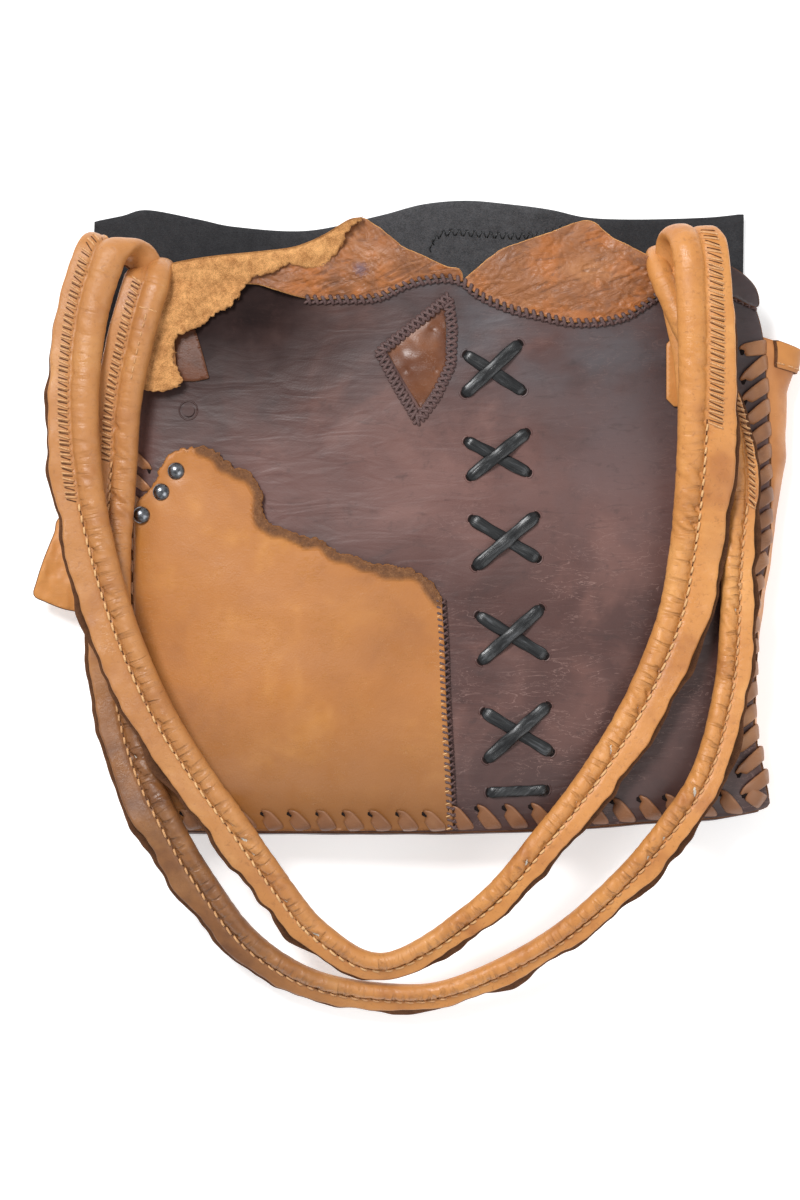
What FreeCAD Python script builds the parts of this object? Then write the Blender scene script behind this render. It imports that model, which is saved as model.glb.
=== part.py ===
"""Patchwork leather tote, lying on its back with both handles thrown forward over its front.

Millimetres. X runs across the bag, Y from its base to its mouth, Z out of its front.
The origin is under the middle of the whole outline, on the surface that the bag lies on.
"""
import FreeCAD, Part
import math
import os
import Sketcher
from FreeCAD import Vector

doc = FreeCAD.newDocument("leather_tote")
dims = doc.addObject("Spreadsheet::Sheet", "Dims")

DIMENSIONS = {
    "leather": 2.4,              # panels, gussets and facings
    "lace_thick": 1.6,           # edge lace and black lace
    "back_left": -168.8,
    "back_right": 174.6,
    "front_left": -149.0,
    "front_right": 178.0,
    "base_y": -119.0,            # bottom edge of both big panels
    "gusset_top": 144.0,
    "seam_z": 30.0,              # underside of the front panel at its side edges
    "crown": 14.0,               # how far its middle stands above its edges
    "gusset_bulge": 9.0,
    "tube_radius": 6.3,          # rolled handle
    "core_radius": 4.4,          # cord inside it
    "flange_wide": 15.0,         # sewn flange beside the roll
    "flange_thick": 4.4,
    "leg_wide": 16.0,            # flattened strap from anchor to fold
    "leg_thick": 5.0,
    "thread": 1.0,
    "rivet_diameter": 9.0,
    "rivet_dome": 2.2,
    "rivet_post": 3.0,
    "lace_wide": 7.0,            # black lace
    "edge_lace_wide": 6.4,       # tan lace round the edges
    "edge_lace_pitch": 14.3,
    "edge_lace_reach": 9.0,      # from the edge to the lace hole
}
for row, (alias, value) in enumerate(DIMENSIONS.items(), start=1):
    dims.set(f"A{row}", alias)
    dims.set(f"B{row}", str(value))
    dims.setAlias(f"B{row}", alias)
doc.recompute()


def size(alias):
    """A driving dimension, read back from the sheet."""
    return float(dims.get(alias))


LEATHER = size("leather")
BACK_TOP = size("lace_thick") + LEATHER
SPAN = size("front_right") - size("front_left")
MIDDLE_X = 0.5 * (size("front_right") + size("front_left"))
ARCH_RADIUS = ((SPAN / 2) ** 2 + size("crown") ** 2) / (2 * size("crown"))
ARCH_CENTRE_Z = size("seam_z") + size("crown") - ARCH_RADIUS
FAR = 400.0                      # beyond the object on every side
LAY_GAP = 0.2                    # between two layers that lie on each other
FACING_LIFT = 1.6                # the facing stands this far off the front panel
SEAM_WIDE = 4.0                  # a sewn seam seen from above

parts = []


def front_height(x, offset=0.0):
    """Height of the front panel's underside at x, raised square to it by offset."""
    across = x - MIDDLE_X
    return ARCH_CENTRE_Z + math.sqrt((ARCH_RADIUS + offset) ** 2 - across ** 2)


# ---------------------------------------------------------------- helpers for sketched bodies

def new_body(label):
    body = doc.addObject("PartDesign::Body", label)
    body.Label = label
    body.AllowCompound = True
    parts.append(body)
    return body


def sketch_on(body, role, name, height=0.0):
    """An empty sketch on one of the body's own origin planes, raised square to it."""
    plane = next(o for o in body.Origin.OriginFeatures if o.Role == role)
    sketch = body.newObject("Sketcher::SketchObject", name)
    sketch.AttachmentSupport = [(plane, "")]
    sketch.MapMode = "FlatFace"
    sketch.AttachmentOffset = FreeCAD.Placement(Vector(0, 0, height), FreeCAD.Rotation())
    return sketch


def add_loop(sketch, points):
    """A closed loop of straight lines, joined corner to corner."""
    first = sketch.GeometryCount
    corners = [Vector(x, y, 0) for x, y in points]
    for start, end in zip(corners, corners[1:] + corners[:1]):
        sketch.addGeometry(Part.LineSegment(start, end))
    count = len(corners)
    for i in range(count):
        sketch.addConstraint(Sketcher.Constraint("Coincident", first + i, 2, first + (i + 1) % count, 1))


def add_band(sketch, arcs):
    """A closed band between two arcs, each given by its start, middle and end."""
    (a0, a1, a2), (b0, b1, b2) = [[Vector(x, z, 0) for x, z in arc] for arc in arcs]
    sketch.addGeometry(Part.Arc(a0, a1, a2))
    sketch.addGeometry(Part.LineSegment(a2, b2))
    sketch.addGeometry(Part.Arc(b0, b1, b2))
    sketch.addGeometry(Part.LineSegment(b0, a0))


def pad(body, sketch, length, name="pad"):
    feature = body.newObject("PartDesign::Pad", name)
    feature.Profile = sketch
    feature.setExpression("Length", length)
    return feature


def plate(label, points, height, thickness="Dims.leather"):
    """A flat piece cut to an outline, with its underside at a height."""
    body = new_body(label)
    sketch = sketch_on(body, "XY_Plane", label + "_outline", height)
    for loop in points:
        add_loop(sketch, loop)
    pad(body, sketch, thickness)
    return body


def arch_arc(offset):
    reach = size("front_right") + 40 - MIDDLE_X
    across = [MIDDLE_X - reach, MIDDLE_X, MIDDLE_X + reach]
    return [(x, front_height(x, offset)) for x in across]


def arched(label, outlines, offset, thickness, holes=()):
    """A piece that follows the crown of the front panel, cut to one or more outlines."""
    body = new_body(label)
    section = sketch_on(body, "XZ_Plane", label + "_section")
    add_band(section, [arch_arc(offset), arch_arc(offset + thickness)])
    slab = pad(body, section, "2 * %g" % FAR, "slab")
    slab.Midplane = True
    trim = sketch_on(body, "XY_Plane", label + "_outline")
    add_loop(trim, [(-FAR, -FAR), (FAR, -FAR), (FAR, FAR), (-FAR, FAR)])
    for outline in outlines:
        add_loop(trim, outline)
    for x, y, diameter in holes:
        hole = trim.addGeometry(Part.Circle(Vector(x, y, 0), Vector(0, 0, 1), size(diameter) / 2))
        ring = trim.addConstraint(Sketcher.Constraint("Diameter", hole, size(diameter)))
        trim.setExpression("Constraints[%d]" % ring, "Dims." + diameter)
    cut = body.newObject("PartDesign::Pocket", "trimmed")
    cut.Profile = trim
    cut.Type = "ThroughAll"
    cut.Midplane = True
    return body


def strip_outline(start, end, wide):
    """The four corners of a straight strip between two points."""
    along = Vector(*end, 0) - Vector(*start, 0)
    side = Vector(-along.y, along.x, 0).normalize() * wide / 2
    corners = [Vector(*start, 0) + side, Vector(*start, 0) - side]
    corners += [Vector(*end, 0) - side, Vector(*end, 0) + side]
    return [(c.x, c.y) for c in corners]


def band_outline(line, wide):
    """A band of even width along an open line."""
    left, right = [], []
    for i, (x, y) in enumerate(line):
        ahead = line[min(i + 1, len(line) - 1)]
        behind = line[max(i - 1, 0)]
        along = Vector(ahead[0] - behind[0], ahead[1] - behind[1], 0).normalize()
        left.append((x - along.y * wide / 2, y + along.x * wide / 2))
        right.append((x + along.y * wide / 2, y - along.x * wide / 2))
    return left + right[::-1]


# ---------------------------------------------------------------- helpers for swept straps

def solid_part(label, shape):
    feature = doc.addObject("Part::Feature", label)
    feature.Label = label
    feature.Shape = shape
    parts.append(feature)
    return feature


def rounded_route(points):
    """Straight runs joined by tangent arcs, each as large as its two runs allow."""
    corners = [Vector(*p) for p in points]
    edges = []
    last = corners[0]
    for a, b, c in zip(corners, corners[1:], corners[2:]):
        inward = (b - a).normalize()
        outward = (c - b).normalize()
        turn = inward.getAngle(outward)
        cut = 0.45 * min((b - a).Length, (c - b).Length)
        radius = cut / math.tan(turn / 2)
        centre = b + (outward - inward).normalize() * math.hypot(radius, cut)
        middle = centre + (b - centre).normalize() * radius
        edges.append(Part.LineSegment(last, b - inward * cut).toShape())
        edges.append(Part.Arc(b - inward * cut, middle, b + outward * cut).toShape())
        last = b + outward * cut
    edges.append(Part.LineSegment(last, corners[-1]).toShape())
    return Part.Wire(edges)


def section_frame(wire, facing):
    """Start point, sideways direction and upward direction of a strap's section."""
    edge = wire.Edges[0]
    along = edge.tangentAt(edge.FirstParameter)
    side = along.cross(facing).normalize()
    return edge.valueAt(edge.FirstParameter), side, side.cross(along).normalize()


def sideways_route(points, facing_at, reach):
    """A route beside another one, on the side that the flange is on."""
    corners = [Vector(*p) for p in points]
    beside = []
    for i, corner in enumerate(corners):
        along = corners[min(i + 1, len(corners) - 1)] - corners[max(i - 1, 0)]
        side = along.normalize().cross(facing_at(corner.y)).normalize()
        beside.append(corner + side * reach)
    return rounded_route(beside)


def sweep(wire, section, guide):
    """The section along the wire, turned so that its side always faces the guide."""
    maker = Part.BRepOffsetAPI.MakePipeShell(wire)
    maker.setAuxiliarySpine(guide, False, 0)
    maker.add(section)
    maker.build()
    maker.makeSolid()
    return maker.shape()


def rolled_section(wire, facing):
    """The roll with its flat flange, as one closed outline."""
    at, side, up = section_frame(wire, facing)
    radius = size("tube_radius")
    half = size("flange_thick") / 2
    root = math.sqrt(radius ** 2 - half ** 2)
    reach = radius + size("flange_wide")
    roll = Part.Arc(at + side * root + up * half, at - side * radius, at + side * root - up * half)
    corners = [at + side * root - up * half, at + side * reach - up * half]
    corners += [at + side * reach + up * half, at + side * root + up * half]
    lines = [Part.LineSegment(p, q).toShape() for p, q in zip(corners, corners[1:])]
    return Part.Wire([roll.toShape()] + lines)


def round_section(wire, facing, radius, across=0.0, above=0.0):
    at, side, up = section_frame(wire, facing)
    centre = at + side * across + up * above
    edge = wire.Edges[0]
    return Part.Wire(Part.makeCircle(radius, centre, edge.tangentAt(edge.FirstParameter)))


def flat_section(wire, facing, wide, thick, across=0.0, above=0.0):
    at, side, up = section_frame(wire, facing)
    centre = at + side * across + up * above
    corners = [centre + side * (a * wide / 2) + up * (b * thick / 2)
               for a, b in ((-1, -1), (1, -1), (1, 1), (-1, 1))]
    return Part.makePolygon(corners + corners[:1])


# ---------------------------------------------------------------- panels

def back_panel():
    left, right = size("back_left"), size("back_right")
    top = [(right, 209), (155, 207), (119, 206), (92, 207), (73, 211), (51, 214), (28, 216),
           (5, 214), (-18, 208), (-56, 200), (-94, 202), (-114, 206), (-141, 211), (-154, 208),
           (left, 205)]
    base_y = size("base_y")
    base = [(left, -45), (-160, -78), (-152, -104), (size("front_left"), base_y)]
    base += [(140, base_y), (160, -116), (170, -110), (right, -98)]
    plate("back_panel", [base + top], size("lace_thick"))


FRONT_SEAM = [(-56, 163), (-38, 163), (-19, 164), (-3, 171), (15, 174), (26, 172), (35, 165),
              (51, 158), (68, 154), (82, 151), (98, 151), (112, 154), (122, 160), (132, 167),
              (160, 169), (169, 164), (178, 158)]


def front_panel(rivets):
    edge = [(size("front_left"), size("base_y")), (size("front_right"), size("base_y"))]
    outline = edge + FRONT_SEAM[::-1] + [(size("front_left"), 163)]
    holes = [(x, y, "rivet_post") for x, y in rivets]
    arched("front_panel", [outline], 0.0, LEATHER, holes)


def base_panel():
    body = new_body("base_panel")
    section = sketch_on(body, "XZ_Plane", "base_outline")
    left, right = size("front_left"), size("front_right")
    back_z = size("lace_thick")
    corners = [(left, front_height(left, LEATHER)), (left, back_z)]
    corners += [(size("back_right"), back_z), (right, front_height(right, LEATHER))]
    flat = [Vector(x, z, 0) for x, z in corners]
    for start, end in zip(flat, flat[1:]):
        section.addGeometry(Part.LineSegment(start, end))
    crown = Vector(MIDDLE_X, front_height(MIDDLE_X, LEATHER), 0)
    section.addGeometry(Part.Arc(flat[-1], crown, flat[0]))
    section.AttachmentOffset = FreeCAD.Placement(Vector(0, 0, -size("base_y")), FreeCAD.Rotation())
    pad(body, section, "Dims.leather")


def gusset(label, inner_back, inner_front, out):
    """A side wall bulging outwards (out is -1 on the left, 1 on the right)."""
    body = new_body(label)
    section = sketch_on(body, "XZ_Plane", label + "_section")
    bulge = size("gusset_bulge")
    middle_x = max(inner_back * out, inner_front * out) * out
    low, high = BACK_TOP, size("seam_z") + LEATHER
    arcs = []
    for shift in (0.0, out * LEATHER):
        arcs.append([(inner_back + shift, low), (middle_x + shift + out * bulge, (low + high) / 2),
                     (inner_front + shift, high)])
    add_band(section, arcs)
    section.AttachmentOffset = FreeCAD.Placement(Vector(0, 0, -size("gusset_top")), FreeCAD.Rotation())
    pad(body, section, "Dims.gusset_top - Dims.base_y")


def gusset_ears():
    """The free hemmed ends of the gussets, which stick out past the seams."""
    plate("right_gusset_ear", [[(190, 143), (202.7, 141), (198.5, 125), (196, 116), (196, 79),
                                (192, 55), (190, 30)]], 16.0)
    plate("left_gusset_ear", [[(-161, -12), (-178, -3), (-187, -1), (-196, 2), (-202.7, 6),
                               (-201, 12), (-197, 25), (-190.5, 40), (-189, 46), (-161, 60)]], 16.0)


# ---------------------------------------------------------------- facings and patches

def facings():
    """The live-edged tan strip sewn along the front panel's top edge, in three lobes."""
    clear = LEATHER + FACING_LIFT
    left = [(-56, 158), (-38, 158), (-19, 159), (-3, 166), (15, 169), (20, 176), (2, 184), (-8, 189),
            (-19, 198), (-27, 203), (-34, 203), (-46, 196), (-57, 191), (-72, 190), (-108, 184),
            (-124, 178), (-116, 158), (-112, 144), (-111, 124), (-106, 121), (-95, 150), (-80, 162)]
    right = [(26, 167), (35, 160), (51, 153), (68, 149), (82, 146), (98, 146), (112, 149), (122, 155),
             (129, 161), (122, 178), (116, 189), (104, 196), (95, 202), (86, 202), (73, 197),
             (58, 192), (46, 187), (33, 177)]
    corner = [(160, 164), (169, 159), (175, 153), (178, 158), (178, 170), (170, 180), (163, 184),
              (159, 180)]
    arched("left_facing", [left], clear, LEATHER)
    arched("right_facing", [right], clear, LEATHER)
    arched("corner_facing", [corner], clear, LEATHER)


def stitched_band(label, line, offset, wide=SEAM_WIDE):
    """One sewn thread, as a low band along its seam."""
    arched(label, [band_outline(line, wide)], offset, size("thread"))


DIAMOND = [(17, 163), (-18, 134), (3, 94), (23, 131), (23, 146)]
POCKET_EDGE = [(-149, 50), (-146, 56), (-137, 66), (-132, 75), (-127, 82), (-115, 84), (-108, 83),
               (-96, 75), (-86, 70), (-81, 60), (-80, 48), (-73, 43), (-60, 37), (-51, 36),
               (-39, 28), (-22, 23), (-8, 20), (-3, 20), (3, 17), (14.5, 5)]
POCKET_SIDE = [(14.5, 2), (17, -50), (20.5, -115)]
RIVET_SEAT = 0.9                 # lifts each flat-bottomed cap clear of the sloping pocket
RIVETS = [(-125.9, 71.8), (-133.8, 60.7), (-144.4, 48.5)]


def patches():
    clear = LEATHER + LAY_GAP
    window = [(5 + (x - 5) * 0.74, 129 + (y - 129) * 0.74) for x, y in DIAMOND]
    arched("diamond_patch", [window], clear, 1.4)
    arched("diamond_stitching", [DIAMOND, window], clear, size("thread"))
    outline = POCKET_EDGE + POCKET_SIDE + [(size("front_left"), -115)]
    holes = [(x, y, "rivet_post") for x, y in RIVETS]
    arched("front_pocket", [outline], clear, LEATHER, holes)
    stitched_band("pocket_stitching", POCKET_SIDE, clear + LEATHER + 0.1)
    stitched_band("facing_stitching", FRONT_SEAM[:13], 2 * LEATHER + 1.7)


def rivets():
    """Three domed two-part rivets: caps outside, posts and backs inside."""
    caps, backs = [], []
    cap_radius = size("rivet_diameter") / 2
    dome = size("rivet_dome")
    ball = (cap_radius ** 2 + dome ** 2) / (2 * dome)
    for x, y in RIVETS:
        seat = front_height(x, 2 * LEATHER + LAY_GAP)
        inside = front_height(x, 0.0)
        cap = Part.makeSphere(ball, Vector(x, y, seat + RIVET_SEAT + dome - ball))
        block = Part.makeBox(20, 20, 20, Vector(x - 10, y - 10, seat + RIVET_SEAT))
        caps.append(cap.common(block))
        post = Part.makeCylinder(size("rivet_post") / 2 - 0.05, seat + RIVET_SEAT - inside + 0.6,
                                 Vector(x, y, inside - 0.6))
        flat = Part.makeCylinder(cap_radius * 0.8, 1.0, Vector(x, y, inside - 1.6))
        backs.append(post.fuse(flat))
    solid_part("pocket_rivet_caps", Part.makeCompound(caps))
    solid_part("pocket_rivet_backs", Part.makeCompound(backs))


# ---------------------------------------------------------------- lacing

CROSSES = [((25, 111, 58, 140), (27, 133, 60, 113)), ((28, 67, 62, 94), (26, 89, 63, 69)),
           ((31, 19, 67, 50), (29, 47, 68, 23)), ((34, -31, 69, 1), (32, -3, 72, -28)),
           ((37, -83, 73, -51), (35, -54, 75, -79))]


def black_lacing():
    wide = size("lace_wide")
    low = LEATHER + LAY_GAP
    high = low + size("lace_thick") + 0.1
    over = [strip_outline(strip[:2], strip[2:], wide) for strip, crossing in CROSSES]
    under = [strip_outline(crossing[:2], crossing[2:], wide) for strip, crossing in CROSSES]
    arched("cross_lace_over", over, high, size("lace_thick"))
    arched("cross_lace_under", under, low, size("lace_thick"))
    arched("cross_lace_bar", [strip_outline((38, -98), (72, -97), 6.0)], low, size("lace_thick"))


def edge_wraps(start, end, lean):
    """Slanted lace wraps side by side along a straight edge, from the edge to the holes."""
    along = Vector(*end, 0) - Vector(*start, 0)
    count = int(along.Length // size("edge_lace_pitch"))
    step = along * (1.0 / count)
    inward = Vector(-along.y, along.x, 0).normalize() * size("edge_lace_reach")
    slant = along.normalize() * lean
    wraps = []
    for i in range(count):
        foot = Vector(*start, 0) + step * (i + 0.5)
        head = foot + inward + slant
        wraps.append(strip_outline((foot.x, foot.y), (head.x, head.y), size("edge_lace_wide")))
    return wraps


def edge_lacing():
    left, right, base = size("front_left"), size("front_right"), size("base_y")
    low = LEATHER + LAY_GAP
    on_pocket = low + LEATHER + 0.1
    thick = size("lace_thick")
    bottom = edge_wraps((24, base), (right - 12, base), -4.0)
    bottom_pocket = edge_wraps((left + 8, base), (20, base), -4.0)
    arched("front_bottom_lacing", bottom, low, thick)
    arched("pocket_bottom_lacing", bottom_pocket, on_pocket, thick)
    arched("front_right_lacing", edge_wraps((right, base + 4), (right, 140), 3.0), low, thick)
    arched("front_left_lacing", edge_wraps((left, 140), (left, 90), 3.0), low, thick)
    back_right = size("back_right")
    rows = {"back_bottom_lacing": ((left + 8, base), (back_right - 36, base)),
            "back_right_lacing": ((back_right, base + 24), (back_right, 140)),
            "back_left_lacing": ((left, 140), (left, base + 6))}
    for label, (start, end) in rows.items():
        plate(label, edge_wraps(start, end, 3.0), 0.0, "Dims.lace_thick")


# ---------------------------------------------------------------- handles

GUIDE_REACH = 60.0               # how far out the guide lies that a section faces
FOLD_GAP = 4.5                   # between the end of a loop and the start of its fold
SEAM_ASIDE = 2.0                 # from the roll's side to its running seam
LADDER_WIDE = 7.0
LADDER_SPAN = 4                  # points of the loop's route that a ladder of stitches follows
FLAT_LAY = Vector(0, 0, 1)

FRONT_LOOP = [(-163, 184, 56), (-171, 150, 56), (-173, 110, 57.5), (-170, 67, 57), (-162, 25, 56.5),
              (-150, -15, 57), (-133, -54, 57), (-113, -87, 56), (-92, -114, 54.5),
              (-66, -148, 45), (-42, -171, 38), (-15, -184, 35), (8, -180, 36), (35, -156, 43),
              (62, -127, 54), (88, -93, 53), (112, -52, 50), (130, -12, 49), (140, 25, 52),
              (145.5, 67, 61), (147, 110, 68), (149, 150, 71), (147, 184, 70)]
BACK_LOOP = [(-134, 174, 50), (-142, 146, 51), (-150, 108, 47), (-153, 67, 42), (-156, 25, 41.5),
             (-155, -18, 41.5), (-150, -58, 43), (-141, -89, 46), (-128, -116, 48.5),
             (-112, -144, 41), (-86, -175, 30), (-54, -196, 24), (-14, -203, 22), (22, -200, 22.5),
             (71, -176, 31), (110, -144, 43), (140, -109, 51), (155, -83, 47), (165, -44, 44),
             (168, -14, 43.5), (169.5, 25, 44), (172, 58, 46), (169, 88, 50), (158, 117, 54),
             (143, 146, 53.5), (131, 174, 50)]
TURN_START_Y = -105.0            # the strap turns on edge once it is past the bag
TURN_END_Y = -185.0
TURN_ANGLE = 60.0


def flange_normal(y):
    """Square to the flange: upwards over the bag, leaning towards the base past its edge."""
    share = min(max((TURN_START_Y - y) / (TURN_START_Y - TURN_END_Y), 0.0), 1.0)
    lean = math.radians(TURN_ANGLE * share)
    return Vector(0, -math.sin(lean), math.cos(lean))


def handle_loop(name, points):
    """The moving loop: rolled cover, cord core and the seam beside the roll."""
    wire = rounded_route(points)
    print(name, "length", round(wire.Length, 1))
    guide = sideways_route(points, flange_normal, GUIDE_REACH)
    outer = sweep(wire, rolled_section(wire, FLAT_LAY), guide)
    core = sweep(wire, round_section(wire, FLAT_LAY, size("core_radius")), guide)
    cover = outer.cut(core).Solids[0]
    solid_part(name + "_cover", cover)
    solid_part(name + "_core", core)
    seam = size("tube_radius") + SEAM_ASIDE
    above = size("flange_thick") / 2 + size("thread") / 2 + 0.1
    thread = round_section(wire, FLAT_LAY, size("thread") / 2, seam, above)
    solid_part(name + "_seam_thread", sweep(wire, thread, guide))
    ends = {"left": points[:LADDER_SPAN], "right": points[-LADDER_SPAN:]}
    for end, route in ends.items():
        short = rounded_route(route)
        beside = sideways_route(route, flange_normal, GUIDE_REACH)
        band = flat_section(short, FLAT_LAY, LADDER_WIDE, size("thread"), seam + LADDER_WIDE, above + 0.5)
        solid_part(name + "_" + end + "_ladder_stitching", sweep(short, band, beside))


FRONT_LEFT_LEG = [(-121, 118, 42.8), (-132, 142, 41.6), (-153, 160, 38.5), (-163, 181, 38)]
FRONT_RIGHT_LEG = [(146, 106, 43), (147, 132, 42.5), (148, 158, 42.5), (147, 184, 43)]
BACK_LEFT_LEG = [(-124, 110, 10), (-125, 133, 12), (-130, 155, 18), (-134, 174, 24)]
BACK_RIGHT_LEG = [(124, 110, 10), (125, 133, 12), (129, 155, 18), (131, 174, 24)]


def handle_leg(label, points):
    """The fixed, flattened end of a strap, from its anchor up to the fold."""
    wire = rounded_route(points)
    section = flat_section(wire, FLAT_LAY, size("leg_wide"), size("leg_thick"))
    solid_part(label, sweep(wire, section, sideways_route(points, flange_normal, GUIDE_REACH)))


def handle_fold(label, leg, loop):
    """The turn between the fixed leg and the loop: half a ring, as wide as the strap."""
    low, high = leg[2], loop[2]
    radius = (high - low) / 2
    half = size("leg_thick") / 2
    wide = size("leg_wide")
    middle = Vector(loop[0] - wide / 2, loop[1], (low + high) / 2)
    ring = Part.makeCylinder(radius + half, wide, middle, Vector(1, 0, 0))
    bore = Part.makeCylinder(radius - half, wide, middle, Vector(1, 0, 0))
    ahead = Part.makeBox(FAR, FAR, FAR, Vector(-FAR / 2, loop[1] + FOLD_GAP, -FAR / 2))
    solid_part(label, ring.cut(bore).common(ahead).Solids[0])


def anchors():
    """Tabs that hold the strap ends, outside on the front and inside on the back."""
    clear = LEATHER + LAY_GAP
    left = [(-132, 120), (-116, 119), (-108, 121), (-115, 146), (-132, 146)]
    right = [(134, 106), (158, 106), (158, 143), (134, 143)]
    arched("front_left_anchor_tab", [left], clear, 1.2)
    arched("front_right_anchor_tab", [right], clear, 1.2)
    for side, x in (("left", -124), ("right", 124)):
        tab = [(x - 14, 96), (x + 14, 96), (x + 14, 128), (x - 14, 128)]
        plate("back_" + side + "_anchor_tab", [tab], BACK_TOP)
    stud = Part.makeCylinder(3.2, 1.0, Vector(-119.5, 104, front_height(-119.5, LEATHER) + 0.4))
    solid_part("front_anchor_stud", stud)


def handles():
    handle_loop("front_handle", FRONT_LOOP)
    handle_loop("back_handle", BACK_LOOP)
    handle_leg("front_left_leg", FRONT_LEFT_LEG)
    handle_leg("front_right_leg", FRONT_RIGHT_LEG)
    handle_leg("back_left_leg", BACK_LEFT_LEG)
    handle_leg("back_right_leg", BACK_RIGHT_LEG)
    handle_fold("front_left_fold", FRONT_LEFT_LEG[-1], FRONT_LOOP[0])
    handle_fold("front_right_fold", FRONT_RIGHT_LEG[-1], FRONT_LOOP[-1])
    handle_fold("back_left_fold", BACK_LEFT_LEG[-1], BACK_LOOP[0])
    handle_fold("back_right_fold", BACK_RIGHT_LEG[-1], BACK_LOOP[-1])


back_panel()
front_panel(RIVETS)
base_panel()
gusset("left_gusset", size("front_left"), size("front_left"), -1)
gusset("right_gusset", size("back_right") - LEATHER, size("front_right"), 1)
gusset_ears()
facings()
patches()
rivets()
black_lacing()
edge_lacing()
anchors()
handles()
doc.recompute()

failed = [o.Label for o in doc.Objects if "Invalid" in o.State or "Error" in o.State]
if failed:
    raise RuntimeError("these objects failed: " + ", ".join(failed))
for part in parts:
    if part.Shape.isNull() or not part.Shape.isValid():
        raise RuntimeError(part.Label + " has no valid shape")
os.makedirs("parts", exist_ok=True)
for part in parts:
    part.Shape.exportStep("parts/" + part.Label + ".step")
    print(part.Label, len(part.Shape.Solids), round(part.Shape.Volume))
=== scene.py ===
"""Looks of the patchwork leather tote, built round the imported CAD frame.

Lengths are in millimetres until a mesh is made; Blender's own objects are in metres.
X runs across the bag, Y from its base to its mouth, Z out of its front.
"""

import math
import random

import bpy
import numpy as np
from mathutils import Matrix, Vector, geometry, noise


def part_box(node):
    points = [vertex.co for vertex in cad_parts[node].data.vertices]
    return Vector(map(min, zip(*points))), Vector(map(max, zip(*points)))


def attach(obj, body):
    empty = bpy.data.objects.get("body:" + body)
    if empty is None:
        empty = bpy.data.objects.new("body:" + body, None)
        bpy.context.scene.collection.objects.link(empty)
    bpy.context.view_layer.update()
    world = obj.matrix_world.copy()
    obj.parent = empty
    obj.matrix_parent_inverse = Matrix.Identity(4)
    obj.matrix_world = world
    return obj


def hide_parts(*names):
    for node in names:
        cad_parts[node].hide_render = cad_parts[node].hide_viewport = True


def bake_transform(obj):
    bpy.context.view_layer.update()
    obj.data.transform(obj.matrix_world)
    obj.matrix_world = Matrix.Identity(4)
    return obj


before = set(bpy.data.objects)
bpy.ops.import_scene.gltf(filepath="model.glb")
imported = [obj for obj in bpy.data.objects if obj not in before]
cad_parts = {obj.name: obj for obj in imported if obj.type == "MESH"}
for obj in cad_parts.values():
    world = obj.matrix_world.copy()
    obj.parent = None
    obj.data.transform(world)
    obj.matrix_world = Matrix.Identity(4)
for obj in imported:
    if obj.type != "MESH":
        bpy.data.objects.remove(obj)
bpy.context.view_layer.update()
MM = 0.001


def box_mm(node):
    low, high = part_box(node)
    return np.array(low) / MM, np.array(high) / MM


FRONT_LOW, FRONT_HIGH = box_mm("front_panel")
BACK_LOW, BACK_HIGH = box_mm("back_panel")
LEFT, RIGHT, BASE = FRONT_LOW[0], FRONT_HIGH[0], FRONT_LOW[1]
LEATHER = 2.4
MIDDLE = 0.5 * (LEFT + RIGHT)
HALF = 0.5 * (RIGHT - LEFT)
SEAM_Z = FRONT_LOW[2]
CROWN = FRONT_HIGH[2] - LEATHER - SEAM_Z


# ---------------------------------------------------------------- camera, light and stage

PICTURE_WIDE = 424.0             # how much the frame shows across, at the height of the bag's front
SENSOR = 36.0
CAMERA_FAR = 3000.0
AIM = (-7.2, 3.4, 40.0)
WHITE = (1, 1, 1, 1)
SKY, FLOOR_GLOW = 0.55, 0.4      # strength of the white all round, and of the floor's own light


def make_camera():
    data = bpy.data.cameras.new("camera")
    data.sensor_fit = "HORIZONTAL"
    data.sensor_width = SENSOR
    data.lens = SENSOR * CAMERA_FAR / PICTURE_WIDE
    data.clip_end = 20.0
    camera = bpy.data.objects.new("camera", data)
    camera.location = (AIM[0] * MM, AIM[1] * MM, (AIM[2] + CAMERA_FAR) * MM)
    bpy.context.scene.collection.objects.link(camera)
    bpy.context.scene.camera = camera


def make_light(name, place, size, power):
    data = bpy.data.lights.new(name, "AREA")
    data.shape = "DISK"
    data.size = size
    data.energy = power
    lamp = bpy.data.objects.new(name, data)
    lamp.location = place
    lamp.rotation_euler = (-Vector(place)).to_track_quat("-Z", "Y").to_euler()
    bpy.context.scene.collection.objects.link(lamp)


def make_stage():
    world = bpy.data.worlds.new("studio")
    world.use_nodes = True
    world.node_tree.nodes["Background"].inputs["Color"].default_value = WHITE
    world.node_tree.nodes["Background"].inputs["Strength"].default_value = SKY
    bpy.context.scene.world = world
    make_light("key", (-0.95, 1.35, 2.6), 1.0, 80.0)
    make_light("fill", (0.9, -0.6, 1.3), 1.2, 7.0)
    bpy.ops.mesh.primitive_plane_add(size=12.0, location=(0, 0, -0.0005))
    floor = bpy.context.object
    floor.name = "floor"
    floor.data.materials.append(plain_floor())
    bpy.context.scene.view_settings.view_transform = "Standard"


def plain_floor():
    material = bpy.data.materials.new("floor")
    material.use_nodes = True
    shader = material.node_tree.nodes["Principled BSDF"]
    shader.inputs["Base Color"].default_value = (0.93, 0.93, 0.93, 1)
    shader.inputs["Roughness"].default_value = 0.9
    shader.inputs["Emission Color"].default_value = WHITE
    shader.inputs["Emission Strength"].default_value = FLOOR_GLOW
    return material


# ---------------------------------------------------------------- materials

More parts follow.
